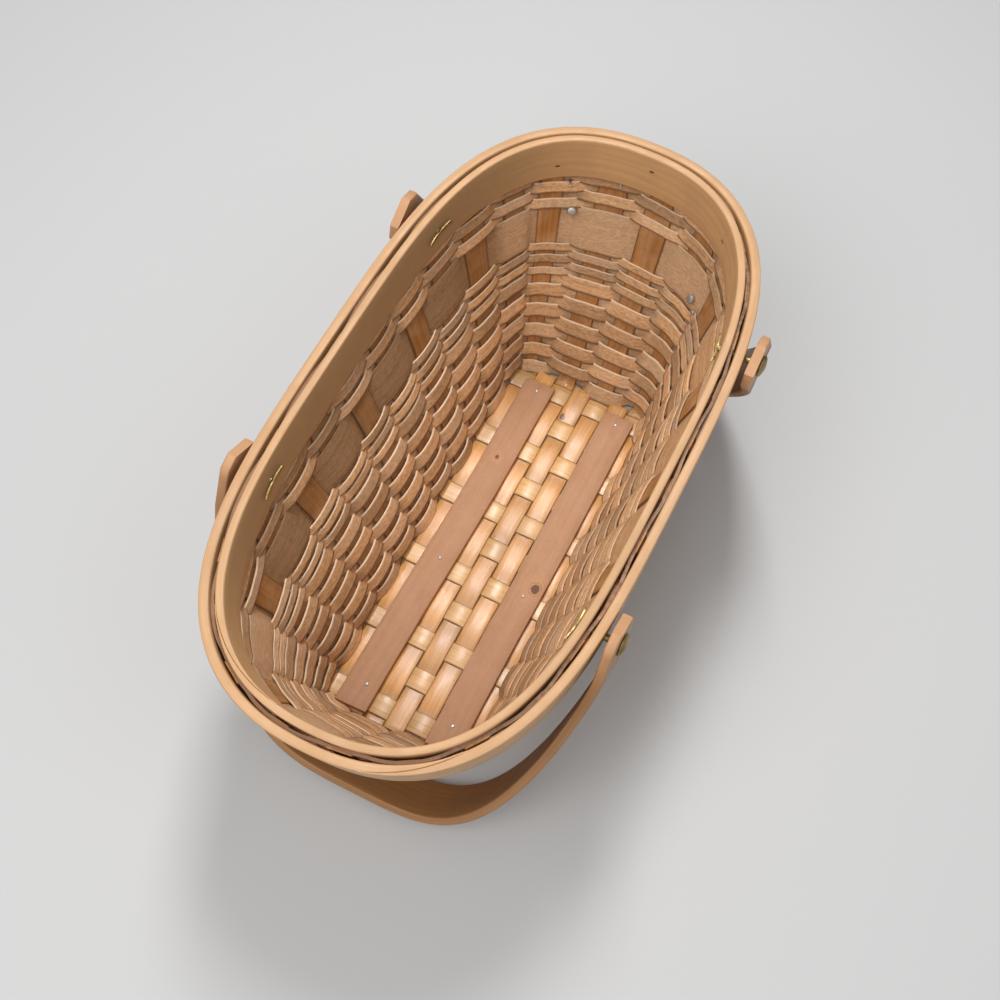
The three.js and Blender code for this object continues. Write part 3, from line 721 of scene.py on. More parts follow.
def metal_material(name, colour, roughness, tarnish):
    """Metal that is duller where it is tarnished."""
    paint = Paint(name, 260.0)
    paint.feed(paint.shader["Metallic"], 1.0)
    paint.base = paint.mix(paint.times(paint.patch, 0.5), colour, tarnish)
    return paint.finish(paint.patch, 0.1, 0.0001, paint.patchy(roughness, roughness + 0.18))


def colours():
    picked = bpy.context.scene.basket_colours
    return {name: tuple(getattr(picked, name)) for name in BasketColours.__annotations__}


def nail_steel():
    """The one steel of all the nails."""
    name = "zinc_steel"
    return bpy.data.materials.get(name) or metal_material(name, colours()["steel"], 0.48, STEEL_TARNISH)


# Floor and uprights

def weave_height(place, centres, highs):
    """The height of a floor splint's middle at a place along it, over and under what it crosses."""
    if place <= centres[0]:
        return HIGH if highs[0] else LOW
    if place >= centres[-1]:
        return HIGH if highs[-1] else LOW
    i, share = span_at(centres, place)
    wave = signed_power(math.cos(math.pi * share), WAVE_POWER)
    start, end = (HIGH if high else LOW for high in highs[i:i + 2])
    return (start + end) / 2 + (start - end) / 2 * wave


def wall_path(upright, level):
    """A wall stretch of a splint, from just above the floor to the rim."""
    heights = [level + WALL_START] + [WALL_STEP * n for n in range(1, 13)]
    heights += [HOOP_FOOT + 0.001, HOOP_FOOT + SHOULDER, RIM_HEIGHT - TOP_DROP]
    return [upright.at(height) for height in heights]


def splint_piece(name, run, ends, width, tone, rng, reach=0.0):
    """A splint that lies in the floor, wider there by reach, and turns up where ends gives its uprights."""
    floor_width = max(width, FLOOR_WIDTH + reach)
    # For each place: middle, vector across, share of floor, dip under the splint that crosses, and painted shade
    places = [(middle, across * floor_width, 1.0, max(0.0, (HIGH - middle.z) / LAYER) ** 1.5, 1.0)
              for middle, across in run]
    if ends:
        first, last = ends
        falling = [(p, -a * w, 0.0, 0.0, 1.0) for p, a, _, w in reversed(wall_path(first, run[0][0].z))]
        # The stretch that rises on the left wall is painted in shade
        dark = LEFT_SHADE if last.out.y > 0 else 1.0
        rising = [(p, a * w, 0.0, 0.0, dark) for p, a, _, w in wall_path(last, run[-1][0].z)]
        places = falling + places + rising
    middles, acrosses, flats, dips, shades = zip(*places)
    lengths = along(middles)
    start, wave = rng.uniform(0, 40), rng.uniform(0, 6)
    shares = [j / (SPLINT_COLUMNS - 1) for j in range(SPLINT_COLUMNS)]
    sections = [[middle + across * (share - 0.5) for share in shares] for middle, across in zip(middles, acrosses)]

    def tone_at(i, j):
        swing = math.sin(lengths[i] * 110 + wave) * math.sin(lengths[i] * 41 + 2 * wave)
        return tone * shades[i] * (1 + TONE_SWING * swing)

    marks = {"in_floor": lambda i, j: flats[i], "across": lambda i, j: shares[j],
             "dip": lambda i, j: dips[i], "tone": tone_at}
    return grid_piece(name, sections, start, lengths, [width * (share - 0.5) for share in shares], marks)


def floor_run(direction, offset, places, centres, highs):
    """A floor splint's middles, each with the direction across it."""
    across = sideways(direction)
    run = []
    for place in places:
        middle = direction * place + across * offset
        middle.z = weave_height(place, centres, highs)
        run.append((middle, across))
    return run


def crosswise_high(k, c):
    return (k + c) % 2 == 0


def steps_between(low, high, step):
    count = math.ceil((high - low) / step)
    return [low + (high - low) * n / count for n in range(count + 1)]


class BASKET_OT_splints(bpy.types.Operator):
    """Weaves the floor and turns its splints up as the walls' uprights"""

    bl_idname = "basket.splints"
    bl_label = "Floor and uprights"

    def execute(self, context):
        rng = random.Random(SEED)
        tint = colours()
        cross_wood = splint_material("crosswise_splint_wood", tint["upright"], tint["cross"])
        long_wood = splint_material("lengthwise_splint_wood", tint["upright"], tint["gold"], FLOOR_KNOT)
        for k in range(CROSSINGS):
            centres = [column_y(c) for c in reversed(range(COLUMNS))]
            highs = [crosswise_high(k, c) for c in reversed(range(COLUMNS))]
            end = HALF_WIDTH - TURN_UP
            run = floor_run(Vector((0, 1, 0)), cross_x(k), steps_between(-end, end, 0.0024), centres, highs)
            ends = (ALL_UPRIGHTS[END_COUNT + CROSSINGS - 1 - k], ALL_UPRIGHTS[2 * END_COUNT + CROSSINGS + k])
            self.lay(context, rng, "side_stake_%02d" % (k + 1), run, ends, CROSS_WIDTH, CROSS_TONES, cross_wood,
                     "upright_splint")
        for c in range(COLUMNS):
            centres = [cross_x(k) for k in range(CROSSINGS)]
            highs = [not crosswise_high(k, c) for k in range(CROSSINGS)]
            turned_up = c % 2 == 0
            end = HALF_LENGTH - (TURN_UP if turned_up else LOOSE_END)
            reach = EDGE_REACH if c in (0, COLUMNS - 1) else 0.0
            offset = -column_y(c) * (1 + reach / 2 / abs(column_y(c)) if reach else 1)
            run = floor_run(Vector((1, 0, 0)), offset, steps_between(-end, end, 0.0033), centres, highs)
            if turned_up:
                near = ALL_UPRIGHTS[END_COUNT + CROSSINGS + END_COUNT - 1 - c // 2]
                ends, name, slot = (near, ALL_UPRIGHTS[c // 2]), "end_stake_%02d" % (c // 2 + 1), "upright_splint"
            else:
                ends, name, slot = None, "floor_splint_%02d" % ((c + 1) // 2), "floor_splint"
            self.lay(context, rng, name, run, ends, COLUMN_WIDTH, LONG_TONES, long_wood, slot, reach)
        return {"FINISHED"}

    def lay(self, context, rng, name, run, ends, width, tones, wood, slot, reach=0.0):
        piece = splint_piece("splint_" + name, run, ends, width, rng.uniform(*tones), rng, reach)
        give_thickness(piece, SPLINT, context.scene.basket_sizes.edge_round)
        dress(piece, wood, slot, BODY, name)


# Rows

SAMPLES = 12
ROW_COLUMNS = 5
BEND_SIDE, BEND_END, OUTER_BEND = 2.6, 5.0, 3.0
TWIST, BAND_TWIST = 0.055, 0.3
BAND_OVERLAP = 0.0018
BROAD_ROW, SLIM_ROW = 0.02, 0.005
ROW_DROP, SLIM_DROP = 0.0034, 0.0026
# How far the tones, the bows and the leans of a row vary
ROW_TONES, BOW_SPREAD, LEAN_SPREAD = (0.72, 1.28), (0.5, 1.5), (0.4, 1.6)
# How much further the lowest row's foot stands into the basket on the long walls, and elsewhere
LOWEST_SIDE, LOWEST_END = 0.0012, 0.0034
# Wear and painted highlight of the upper edges: on the right wall, and elsewhere
RIGHT_WEAR_AND_HIGHLIGHT, OTHER_WEAR_AND_HIGHLIGHT = 0.15, 0.8
# The wide band's painted shade on the left wall, and its wear with painted highlight and its dust on the end walls
BAND_LEFT_SHADE, BAND_END_WEAR_AND_HIGHLIGHT, BAND_END_DUST = 0.60, 0.4, 0.8
RIM_ROW_THICKNESS = 0.0021


def row_line(height, side_first, inside, outside, lifts, twist, drop):
    """A row's line at one height: it passes outside one upright and inside the next.

    Twist moves the place where it changes sides away from the upright that it passes inside,
    and drop lowers it where it is outside."""
    seats = [upright.at(height) for upright in ALL_UPRIGHTS]
    base = smooth_through([seat[0] for seat in seats], SAMPLES)
    outs = smooth_through([seat[2] for seat in seats], SAMPLES)
    crossing = 0.5 + twist
    line = []
    for n, (point, out) in enumerate(zip(base, outs)):
        i, step = divmod(n, SAMPLES)
        share, j = step / SAMPLES, (i + 1) % UPRIGHTS
        a, b, away = (i, j, share) if side_first * (-1) ** i < 0 else (j, i, 1 - share)
        if away < crossing:
            bend = BEND_SIDE if on_side_wall(a) else BEND_END
            depth = -inside[a] * (1 - (away / crossing) ** bend)
        else:
            depth = outside[b] * (1 - ((1 - away) / (1 - crossing)) ** OUTER_BEND)
        ease = share * share * (3 - 2 * share)
        lift = lifts[i] + (lifts[j] - lifts[i]) * ease - drop * max(0.0, depth / outside[b])
        line.append(point + out.normalized() * depth + Vector((0, 0, lift)))
    return line


class BASKET_OT_rows(bpy.types.Operator):
    """Weaves the rows round the walls, from the floor up to the hoops"""

    bl_idname = "basket.rows"
    bl_label = "Woven rows"

    def execute(self, context):
        rng = random.Random(SEED + 1)
        sizes = context.scene.basket_sizes
        wood = row_material("row_splint_wood", colours()["row"], WORN_EDGE_AND_HIGHLIGHT)
        foot, side = FLOOR_TOP + AIR, -1
        for name, count, height, gap in ROW_GROUPS:
            for i in range(count):
                node = name if count == 1 else "%s_%02d" % (name, i + 1)
                low, high = row_height(foot), row_height(foot + height)
                self.weave(sizes, rng, wood, node, low, high - low, side, sizes.row_thickness, 1.0)
                foot += height + gap
                side = -side
        foot = RIM_HEIGHT - TOP_DROP - RIM_ROW_HEIGHT
        # The rim row in the gap between the hoops is painted in shade, in darker copies of the rows' colours
        rim_wood_in_shade = row_material("rim_row_wood", RIM_ROW, RIM_ROW_EDGE)
        self.weave(sizes, rng, rim_wood_in_shade, "rim_row", foot, RIM_ROW_HEIGHT, side, RIM_ROW_THICKNESS, 0.0)
        return {"FINISHED"}

    def weave(self, sizes, rng, wood, node, foot, height, side, thickness, bowed):
        """Weaves one row; bowed is 1, or 0 for the stiff row between the hoops."""
        broad, slim, lowest = height > BROAD_ROW, height < SLIM_ROW, foot < FLOOR_TOP + 0.001
        on_sides = [on_side_wall(i) for i in range(UPRIGHTS)]
        tones = [rng.uniform(*ROW_TONES) for _ in on_sides]
        dusts = [rng.random() ** 2 for _ in on_sides]
        # How much the upper edges show wear and painted highlight: less on the right wall
        edge_wear_and_highlight = [RIGHT_WEAR_AND_HIGHLIGHT if END_COUNT <= i < END_COUNT + CROSSINGS else OTHER_WEAR_AND_HIGHLIGHT for i in range(UPRIGHTS)]
        if broad:
            # On the left wall the wide band is painted in shade
            tones = [BAND_LEFT_SHADE if on_side and i > UPRIGHTS / 2 else 1.0 for i, on_side in enumerate(on_sides)]
            edge_wear_and_highlight = [0.0 if on_side else BAND_END_WEAR_AND_HIGHLIGHT for on_side in on_sides]
            dusts = [0.0 if on_side else BAND_END_DUST for on_side in on_sides]
        jitter = [rng.uniform(*BOW_SPREAD) for _ in on_sides]
        leans = [rng.uniform(*LEAN_SPREAD) for _ in on_sides]
        phases = [rng.uniform(0, 2 * math.pi) for _ in range(3)]
        lifts = []
        for i in range(UPRIGHTS):
            turn = 2 * math.pi * i / UPRIGHTS
            slow = sum(math.sin((n + 2) * turn + phase) for n, phase in enumerate(phases)) / 2
            lifts.append(sizes.row_wander * bowed * (slow + rng.uniform(-0.8, 0.8)))
        overlap = bowed * (BAND_OVERLAP if broad else height * sizes.row_overlap * (0.8 if slim else 1.0))
        seat = SPLINT / 2 + thickness / 2 if bowed else (HOOP_GAP - thickness) / 2 - 0.0001
        shares = [j / (ROW_COLUMNS - 1) for j in range(ROW_COLUMNS)]
        lines = []
        for share in shares:
            inside = []
            for on_side, swing, tilt in zip(on_sides, jitter, leans):
                bow = swing * (sizes.side_bow if on_side else sizes.end_bow) * (0.6 if broad else 1.0)
                lean = sizes.row_lean * tilt * (0.6 if on_side else 1.0)
                foot_reach = (LOWEST_SIDE if on_side else LOWEST_END) if lowest else 0.0
                inside.append(seat + bowed * (bow + lean * (1 - share)) + foot_reach * (1 - share))
            outside = [seat + bowed * sizes.row_lean * share] * UPRIGHTS
            twist = bowed * (BAND_TWIST if broad else 1.0) * TWIST * (1 - 2 * share)
            drop = 0.0 if lowest else bowed * (1 - share) * (SLIM_DROP if slim or broad else ROW_DROP)
            level = foot + height * share + (share - 0.5) * overlap
            lines.append(row_line(level, side, inside, outside, lifts, twist, drop))
        lengths = along(lines[0] + [lines[0][0]])
        start = rng.uniform(0, 40)

        def by_span(values):
            """A mark that takes each upright's value, with a short change between them."""
            def at(i, j):
                share, span = math.modf(i / SAMPLES + 0.5)
                a, b = values[int(span) % UPRIGHTS - 1], values[int(span) % UPRIGHTS]
                return a + (b - a) * min(1.0, share * 4)
            return at

        marks = {"across": lambda i, j: shares[j], "tone": by_span(tones), "dust": by_span(dusts),
                 "wear": by_span(edge_wear_and_highlight), "reach": lambda i, j: 0.25 if broad else 1.0}
        widths = [height * share for share in shares]
        piece = grid_piece("woven_" + node, list(zip(*lines)), start, lengths, widths, marks, closed_along=True)
        give_thickness(piece, thickness, min(sizes.edge_round, thickness / 4))
        dress(piece, wood, "row_splint", BODY, node)


# Slats and their nails

# Name, distance to the left of the middle, and how far its near part turns to the left for each metre
SLATS = (("floor_slat_left", 0.029, 0.016), ("floor_slat_right", -0.034, 0.0))
SLAT_NAILS = (0.126, -0.024, -0.126)
SLAT_NAIL_RADIUS, SLAT_NAIL_HEIGHT = 0.0012, 0.0006
SLAT_WIDTH = 0.0225
SLAT_THICKNESS = 0.004
SLAT_EDGE = 0.0005
SLAT_FAR = 0.1335
SLAT_NEAR = 0.1434
SLAT_FOOT = FLOOR_TOP + AIR
SLAT_COLUMNS = 5


def ring_widths(ring):
    """How far round a section each of its points is, and the whole way round at last."""
    widths = [0.0]
    for (a, b), (c, d) in zip(ring, ring[1:] + ring[:1]):
        widths.append(widths[-1] + math.hypot(c - a, d - b))
    return widths


def slat_section():
    """A slat's section, with the two upper edges cut."""
    half, top = SLAT_WIDTH / 2, SLAT_THICKNESS
    profile = [(-half, 0), (half, 0), (half, top - SLAT_EDGE), (half - SLAT_EDGE, top),
               (SLAT_EDGE - half, top), (-half, top - SLAT_EDGE)]
    ring = []
    for (a, b), (c, d) in zip(profile, profile[1:] + profile[:1]):
        count = SLAT_COLUMNS if abs(c - a) > half else 1
        ring += [(a + (c - a) * m / count, b + (d - b) * m / count) for m in range(count)]
    return ring


def nail_head(name, place, direction, radius, height, material, *nodes):
    """A small flat nail head that stands along a direction."""
    bm = cone(radius, radius * 0.82, height, 20)
    top = [face for face in bm.faces if face.normal.z > 0.9]
    bmesh.ops.inset_region(bm, faces=top, thickness=radius * 0.3, depth=height * 0.12)
    bmesh.ops.inset_region(bm, faces=top, thickness=radius * 0.22, depth=height * 0.04)
    edges = [edge for edge in bm.edges if edge.calc_face_angle(0) > 0.6]
    bmesh.ops.bevel(bm, geom=edges, offset=radius * 0.07, segments=2, profile=0.5, affect="EDGES", material=-1)
    aim(bm, place, direction)
    piece = new_piece(name, bm)
    sharpen(piece, 35)
    dress(piece, material, "nail_steel", BODY, *nodes)


class BASKET_OT_slats(bpy.types.Operator):
    """Lays the two sawn slats on the floor, with their nails"""

    bl_idname = "basket.slats"
    bl_label = "Floor slats"

    def execute(self, context):
        rng = random.Random(SEED + 2)
        steel, ring = nail_steel(), slat_section()
        places = steps_between(-SLAT_NEAR, SLAT_FAR, 0.009)
        for name, y, turn in SLATS:
            skew, phase, start = rng.uniform(-0.02, 0.02), rng.uniform(0, 6), rng.uniform(0, 30)
            sections = []
            for x in places:
                sway = 0.0003 * math.sin(x * 30 + phase) + turn * max(0.0, 0.05 - x)
                sections.append([Vector((x + skew * a, y + a + sway, SLAT_FOOT + b)) for a, b in ring])
            piece = grid_piece("board_" + name, sections, start, places, ring_widths(ring), {}, closed_across=True)
            ease_edges(piece, 0.0003, 60)
            settle(piece, 50)
            wood = slat_material(name + "_wood", colours()["slat"], SLAT_KNOTS[name])
            dress(piece, wood, "slat_wood", BODY, name)
            for n, x in enumerate(SLAT_NAILS):
                place = Vector((x, y, SLAT_FOOT + SLAT_THICKNESS + SLAT_NAIL_HEIGHT / 2))
                nail_head("head_%s_%d" % (name, n + 1), place, Vector((0, 0, 1)), SLAT_NAIL_RADIUS, SLAT_NAIL_HEIGHT,
                          steel, "%s_nail_%d" % (name, n + 1))
        return {"FINISHED"}


# Nails through the wide band, and the tips of the hoops' nails: upright, height, radius
BAND_NAILS = ((0.38, 0.132, 0.0034), (3.38, 0.113, 0.0034), (3.68, 0.110, 0.0016))
NAIL_TIPS = ((29.56, 0.154), (0.28, 0.151), (1.14, 0.155), (2.58, 0.157))
BAND_FACE = 0.0034
BAND_NAIL_HEIGHT = 0.0016
TIP_DEPTH, TIP_LENGTH, TIP_RADIUS, TIP_POINT = 0.0025, 0.006, 0.0011, 0.0003


def wall_spot(place, height):
    """The wall's middle and its level outward direction at a place counted in uprights."""
    first, share = divmod(place, 1)
    a, b = (ALL_UPRIGHTS[(int(first) + n) % UPRIGHTS].at(height) for n in (0, 1))
    return a[0].lerp(b[0], share), a[2].lerp(b[2], share).normalized()


class BASKET_OT_nails(bpy.types.Operator):
    """Drives the zinc nails through the wide band and lets the hoops' nail tips show"""

    bl_idname = "basket.nails"
    bl_label = "Nails in the wall"

    def execute(self, context):
        steel = nail_steel()
        for n, (place, height, radius) in enumerate(BAND_NAILS):
            spot, out = wall_spot(place, height)
            nail_head("band_nail_%d" % (n + 1), spot - out * BAND_FACE, Vector((0, 0, 0.6)) - out, radius,
                      BAND_NAIL_HEIGHT, steel)
        for n, (place, height) in enumerate(NAIL_TIPS):
            spot, out = wall_spot(place, height)
            bm = cone(TIP_RADIUS, TIP_POINT, TIP_LENGTH, 12)
            aim(bm, spot - out * TIP_DEPTH, -out - Vector((0, 0, 0.1)))
            dress(new_piece("nail_tip_%d" % (n + 1), bm), steel, "nail_steel", BODY)
        return {"FINISHED"}


# Hoops

HOOP_SECTIONS = 240
LAP_END = 0.12  # what is left of the thickness at the tapered ends of a lap
# The hoops: node, how far inside the rim, thickness, rise of the foot, where the lap starts, its length
HOOPS = (("outer_hoop", 0, OUTER_HOOP, 0, 0.42, 0.06),
         ("inner_hoop", OUTER_HOOP + HOOP_GAP, INNER_HOOP, INNER_RISE, 0.52, 0.07))


def rounded_ring(thickness, height, rounding, corner_steps=4, face_steps=5):
    """A rounded rectangle, as pairs of depth and height."""
    ring = []
    corners = ((rounding, rounding, 180), (thickness - rounding, rounding, 270),
               (thickness - rounding, height - rounding, 0), (rounding, height - rounding, 90))
    for n, (depth, z, start) in enumerate(corners):
        for step in range(corner_steps + 1):
            angle = math.radians(start + 90 * step / corner_steps)
            ring.append((depth + rounding * math.cos(angle), z + rounding * math.sin(angle)))
        if n % 2 == 1:
            (flat, low), high = ring[-1], corners[(n + 1) % 4][1]
            ring += [(flat, low + (high - low) * m / face_steps) for m in range(1, face_steps)]
    return ring


def ring_marks(ring, thickness, height, rounding):
    """How much of each ring point is edge, and how much is the inner face."""
    edges = [1.0 - min(1.0, min(z, height - z) / (rounding * 1.3)) for _, z in ring]
    return edges, [1.0 if depth > thickness / 2 else 0.0 for depth, _ in ring]


def hoop_piece(name, inset, thickness, bottom, rounding, lap_start, lap, rng):
    """A bent strip that goes once round and ends in a lap whose two ends taper onto each other."""
    line = RimLine(inset)
    ring = rounded_ring(thickness, HOOP_HEIGHT, rounding)
    total = 1 + lap / line.length
    turns = [total * i / HOOP_SECTIONS for i in range(HOOP_SECTIONS + 1)]
    sections = []
    for turn in turns:
        point, out = line.at(lap_start + turn)
        share_in, share_out = (min(1.0, left / (total - 1)) for left in (turn, total - turn))
        low, high = 1 - max(LAP_END, share_in), max(LAP_END, share_out)
        section = []
        for place, z in ring:
            share = place / thickness
            share = low + (1 - low) * share if share_in < 1 else share * high
            depth = share * thickness + (RIM_HEIGHT - bottom - z) * hoop_lean(out)
            section.append(point - out * depth + Vector((0, 0, bottom + z)))
        sections.append(section)
    edges, insides = ring_marks(ring, thickness, HOOP_HEIGHT, rounding)
    lengths = [line.length * turn for turn in turns]
    marks = {"edge": lambda i, j: edges[j], "inside": lambda i, j: insides[j]}
    piece = grid_piece(name, sections, rng.uniform(0, 30), lengths, ring_widths(ring), marks, closed_across=True)
    sharpen(piece, 50)
    return piece


class BASKET_OT_hoops(bpy.types.Operator):
    """Bends the outer and the inner hoop round the rim"""

    bl_idname = "basket.hoops"
    bl_label = "Hoops"

    def execute(self, context):
        rng = random.Random(SEED + 3)
        rounding, tint = context.scene.basket_sizes.hoop_round, colours()
        outer_face = tinted(tint["hoop_face"], tint["hoop_edge"], 0.6)
        wood = bent_wood_material("hoop_wood", outer_face, tint["hoop_edge"], tint["hoop_face"], HOOP_HOLES)
        for node, inset, thickness, rise, lap_start, lap in HOOPS:
            hoop = hoop_piece("bent_" + node, inset, thickness, HOOP_FOOT + rise, rounding, lap_start, lap, rng)
            dress(hoop, wood, "hoop_wood", BODY, node)
        return {"FINISHED"}


# Handles and pins

def handle_line():
    """The handle's inner line from ear to ear: distances across the basket and away from the pivot."""
    bow = []
    for i in range(BOW_STEPS + 1):
        angle = math.pi * i / BOW_STEPS
        bow.append(Vector((HANDLE_HALF * signed_power(math.cos(angle), 2 / LEG_POWER),
                           HANDLE_STRAIGHT + (HANDLE_DEPTH - HANDLE_STRAIGHT) * math.sin(angle) ** (2 / BOW_POWER))))
    lengths = along(bow)
    spaced = []
    for n in range(BOW_SECTIONS + 1):
        i, share = span_at(lengths, lengths[-1] * n / BOW_SECTIONS)
        spaced.append(bow[i].lerp(bow[i + 1], share))
    ear = [Vector((HANDLE_HALF, r)) for r in (-EAR_LENGTH, EAR_CHAMFER - EAR_LENGTH, 0, 0.01)]
    return ear + spaced + [Vector((-v.x, v.y)) for v in reversed(ear)]


class BASKET_OT_handles(bpy.types.Operator):
    """Bends the two handles and bores their ears for the pins"""

    bl_idname = "basket.handles"
    bl_label = "Handles"

    def execute(self, context):
        rng = random.Random(SEED + 4)
        rounding, tint = context.scene.basket_sizes.handle_round, colours()
        # The handle's inner face, which faces the basket, is painted in shade at half the handle's colour
        wood = bent_wood_material(
            "handle_wood", tint["handle"], tinted(tint["hoop_edge"], tint["handle"], 0.8), shade(tint["handle"], 0.5))
        line = handle_line()
        lengths, last = along(line), len(line) - 1
        from_tip = [min(i, last - i) for i in range(len(line))]
        ring = rounded_ring(HANDLE_THICKNESS, HANDLE_WIDTH, rounding, 3, 5)
        edges, insides = ring_marks(ring, HANDLE_THICKNESS, HANDLE_WIDTH, rounding)
        marks = {"edge": lambda i, j: edges[j] if from_tip[i] else 1.0,
                 "inside": lambda i, j: insides[j],
                 "ear": lambda i, j: max(0.0, 1 - max(0, from_tip[i] - 1) / 3)}
        for place, x, lean in PIVOTS:
            away = Vector((lean * math.cos(DROOP), 0, -math.sin(DROOP)))
            flat = Vector((0, 1, 0)).cross(away)
            pivot = Vector((x, 0, PIVOT_HEIGHT))
            sections = []
            for i, point in enumerate(line):
                run = (line[min(i + 1, last)] - line[max(i - 1, 0)]).normalized()
                out = Vector((run.y, -run.x))
                spread = 1.0 if from_tip[i] else EAR_TIP_WIDTH / HANDLE_WIDTH
                section = []
                for depth, across in ring:
                    spot = point + out * (HANDLE_THICKNESS - depth)
                    section.append(pivot + Vector((0, spot.x, 0)) + away * spot.y
                                   + flat * (across - HANDLE_WIDTH / 2) * spread)
                sections.append(section)
            node = "handle_" + place
            piece = grid_piece("bent_" + node, sections, rng.uniform(0, 30), lengths, ring_widths(ring), marks,
                               closed_across=True)
            bore(piece, x)
            dress(piece, wood, "handle_wood", node, node)
        return {"FINISHED"}


def bore(piece, x):
    """Cuts the pins' holes through both ears."""
    bm = cone(PIN_RADIUS + AIR, PIN_RADIUS + AIR, RIM_WIDTH + 0.04, 32)
    bmesh.ops.rotate(bm, verts=bm.verts, matrix=Matrix.Rotation(math.pi / 2, 3, "X"))
    bmesh.ops.translate(bm, verts=bm.verts, vec=(x, 0, PIVOT_HEIGHT))
    drill = new_piece("drill", bm)
    cut = piece.modifiers.new("Bore", "BOOLEAN")
    cut.operation, cut.object, cut.solver = "DIFFERENCE", drill, "EXACT"
    settle(piece, 45)
    bpy.data.objects.remove(drill, do_unlink=True)


class BASKET_OT_pins(bpy.types.Operator):
    """Puts in the four brass split pins"""

    bl_idname = "basket.pins"
    bl_label = "Brass pins"

    def execute(self, context):
        brass = metal_material("aged_brass", colours()["brass"], 0.42, BRASS_TARNISH)
        lean = (RIM_HEIGHT - PIVOT_HEIGHT) * hoop_lean(Vector((0, 1, 0)))
        line = RimLine(OUTER_HOOP + HOOP_GAP + INNER_HOOP + PRONG_SEAT + lean)
        for place, x, _ in PIVOTS:
            for hand, side in (("left", 1), ("right", -1)):
                self.pin(brass, line, "pin_%s_%s" % (place, hand), x, side)
        return {"FINISHED"}

    def pin(self, brass, line, node, x, side):
        """A shank with a domed head outside the ear, and two prongs inside the hoops."""
        seat = HANDLE_HALF + HANDLE_THICKNESS + AIR
        share = line.share_at(x, side)
        inner = abs(line.at(share)[0].y)
        profile = [(0.0, inner), (PIN_RADIUS, inner), (PIN_RADIUS, seat), (HEAD_FOOT, seat),
                   (HEAD_RADIUS, seat + 0.00035)]
        for angle in (math.radians(degrees) for degrees in range(5, 90, 12)):
            profile.append((HEAD_RADIUS * math.cos(angle), seat + 0.0006 + DOME_HEIGHT * math.sin(angle)))
        profile.append((0.0, seat + 0.003))
        bm = bmesh.new()
        verts = [bm.verts.new((radius, depth, 0)) for radius, depth in profile]
        edges = [bm.edges.new(pair) for pair in zip(verts, verts[1:])]
        bmesh.ops.spin(bm, geom=verts + edges, cent=(0, 0, 0), axis=(0, 1, 0), angle=2 * math.pi, steps=40,
                       use_merge=True)
        bmesh.ops.remove_doubles(bm, verts=bm.verts, dist=1e-6)
        if side < 0:
            bmesh.ops.rotate(bm, verts=bm.verts, matrix=Matrix.Rotation(math.pi, 3, "Z"))
        bmesh.ops.translate(bm, verts=bm.verts, vec=(x, 0, PIVOT_HEIGHT))
        bmesh.ops.recalc_face_normals(bm, faces=bm.faces)
        for turn in (-1, 1):
            self.prong(bm, line, share, turn)
        piece = new_piece("brass_" + node, bm)
        sharpen(piece, 35)
        dress(piece, brass, "pin_brass", BODY, node)

    def prong(self, bm, line, share, turn):
        """A flat prong bent along the inner hoop, a little lifted off it, with a rounded tip."""
        part = bmesh.new()
        bmesh.ops.create_grid(part, x_segments=10, y_segments=2, size=0.5)
        for vert in part.verts:
            distance = (vert.co.x + 0.5) * PRONG_LENGTH
            point, out = line.at(share + turn * distance / line.length)
            width = PRONG_WIDTH * min(1.0, 0.55 + distance / 0.004)
            tip = max(0.0, (distance - PRONG_LENGTH + PRONG_TIP) / PRONG_TIP)
            width *= math.sqrt(max(0.08, 1 - tip * tip))
            lift = 0.0004 + 0.0009 * (distance / PRONG_LENGTH) ** 2
            rise = vert.co.y * width + turn * 0.10 * distance
            vert.co = point - out * lift + Vector((0, 0, PIVOT_HEIGHT + rise))
        bmesh.ops.recalc_face_normals(part, faces=part.faces)
        bmesh.ops.solidify(part, geom=part.faces[:], thickness=PRONG_THICKNESS)
        bmesh.ops.recalc_face_normals(part, faces=part.faces)
        mesh = bpy.data.meshes.new("prong")
        part.to_mesh(mesh)
        part.free()
        bm.from_mesh(mesh)
        bpy.data.meshes.remove(mesh)


# Stage

# The camera's focal length in pixels of a picture of 1000, its place, and its right, up and backward axes
FOCAL_PIXELS = 1424.96
VIEW_PLACE = (-0.379142, -0.181404, 0.888182)
VIEW_AXES = ((0.4500408, -0.8928900, 0.0145165), (0.7899103, 0.4056135, 0.4599124),
             (-0.4165392, -0.1955126, 0.8878456))
# Lamps: name, place, what it is aimed at, width and height, watts
LAMPS = (("window", (0.58, 0.21, 1.45), (0.0, 0.0, 0.0), (0.30, 0.55), 14.0),
         ("side", (-0.20, -0.90, 1.30), (0.0, 0.0, 0.10), (0.7, 0.7), 2.6),
         ("ceiling", (-0.85, 0.20, 1.4), (0.0, 0.0, 0.10), (1.1, 1.1), 14.2))
ROOM_LIGHT = 0.29
FLOOR_GREY = (0.56, 0.56, 0.56, 1)


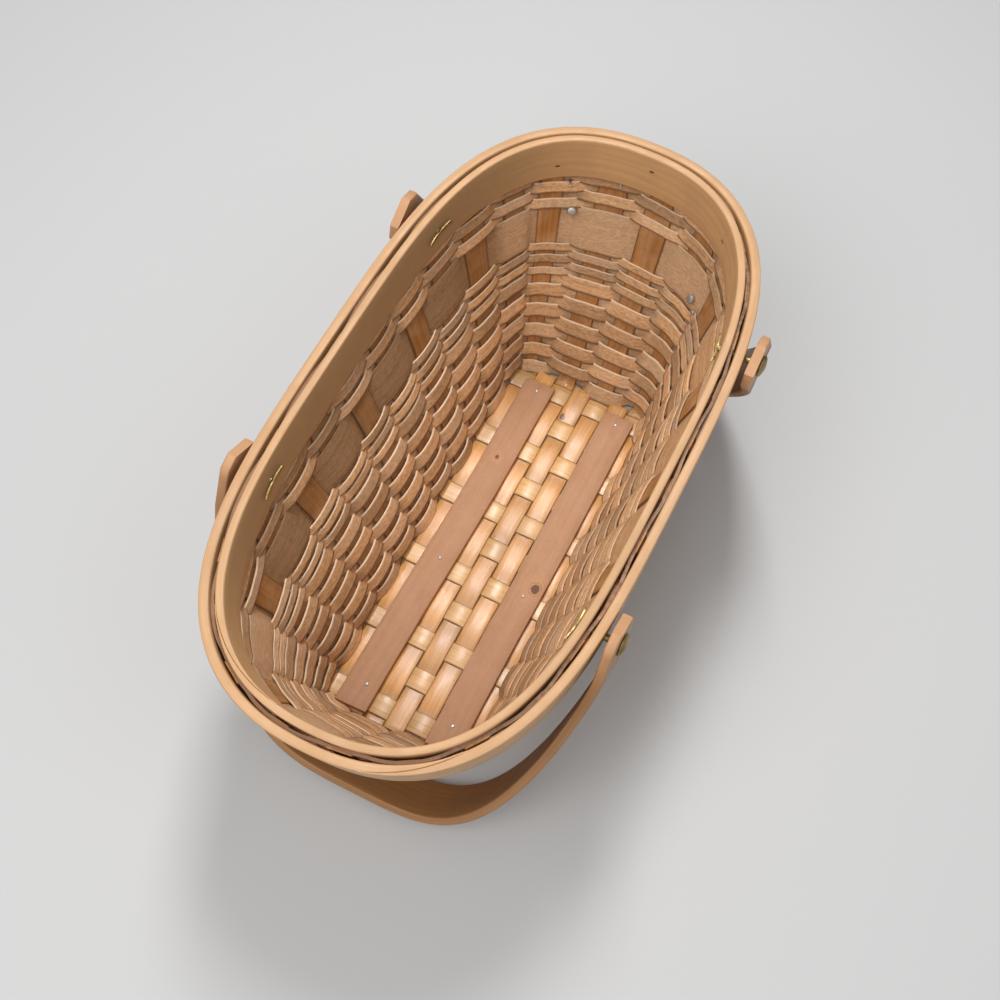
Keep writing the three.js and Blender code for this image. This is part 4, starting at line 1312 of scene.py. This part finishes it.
class BASKET_OT_stage(bpy.types.Operator):
    """Sets the camera, the lamps and the pale floor"""

    bl_idname = "basket.stage"
    bl_label = "Stage"

    def execute(self, context):
        scene = context.scene
        scene.view_settings.view_transform = "Standard"
        data = bpy.data.cameras.new("view")
        data.sensor_width = 36
        data.lens = data.sensor_width * FOCAL_PIXELS / 1000
        scene.camera = self.put("view", data, VIEW_PLACE, Matrix(VIEW_AXES).transposed())
        self.floor()
        for name, place, target, size, power in LAMPS:
            data = bpy.data.lights.new(name, "AREA")
            data.shape = "RECTANGLE"
            data.size, data.size_y = size
            data.energy = power
            aimed = Vector(target) - Vector(place)
            self.put(name, data, place, aimed.to_track_quat("-Z", "Y").to_matrix())
        world = bpy.data.worlds.new("room")
        world.use_nodes = True
        back = world.node_tree.nodes["Background"]
        back.inputs[0].default_value = (1, 1, 1, 1)
        back.inputs[1].default_value = ROOM_LIGHT
        scene.world = world
        return {"FINISHED"}

    def put(self, name, data, place, turn):
        thing = bpy.data.objects.new(name, data)
        thing.matrix_world = Matrix.Translation(place) @ turn.to_4x4()
        bpy.context.scene.collection.objects.link(thing)
        return thing

    def floor(self):
        bm = bmesh.new()
        bmesh.ops.create_grid(bm, x_segments=2, y_segments=2, size=6)
        bmesh.ops.translate(bm, verts=bm.verts, vec=(0, 0, CAD_BOX[0][2] - 0.0002))
        floor = new_piece("stage_floor", bm)
        material, shader = new_material("pale_floor")
        shader["Base Color"].default_value = FLOOR_GREY
        shader["Roughness"].default_value = 0.75
        floor.data.materials.append(material)


class BASKET_PT_panel(bpy.types.Panel):
    """Sizes and colours of the basket"""

    bl_idname = "BASKET_PT_panel"
    bl_label = "Splint basket"
    bl_space_type = "VIEW_3D"
    bl_region_type = "UI"
    bl_category = "Basket"

    def draw(self, context):
        for settings in (context.scene.basket_sizes, context.scene.basket_colours):
            box = self.layout.box()
            for name in type(settings).__annotations__:
                box.prop(settings, name)
        for step in STEPS:
            self.layout.operator(step.bl_idname)


STEPS = (BASKET_OT_stage, BASKET_OT_splints, BASKET_OT_rows, BASKET_OT_slats, BASKET_OT_nails,
         BASKET_OT_hoops, BASKET_OT_handles, BASKET_OT_pins)
CLASSES = (BasketSizes, BasketColours, *STEPS, BASKET_PT_panel)


def register():
    for item in CLASSES:
        bpy.utils.register_class(item)
    bpy.types.Scene.basket_sizes = bpy.props.PointerProperty(type=BasketSizes)
    bpy.types.Scene.basket_colours = bpy.props.PointerProperty(type=BasketColours)


def unregister():
    del bpy.types.Scene.basket_colours
    del bpy.types.Scene.basket_sizes
    for item in reversed(CLASSES):
        bpy.utils.unregister_class(item)


def main():
    register()
    bpy.ops.basket.stage()
    bpy.ops.basket.splints()
    bpy.ops.basket.rows()
    bpy.ops.basket.slats()
    bpy.ops.basket.nails()
    bpy.ops.basket.hoops()
    bpy.ops.basket.handles()
    bpy.ops.basket.pins()


if __name__ == "__main__":
    main()
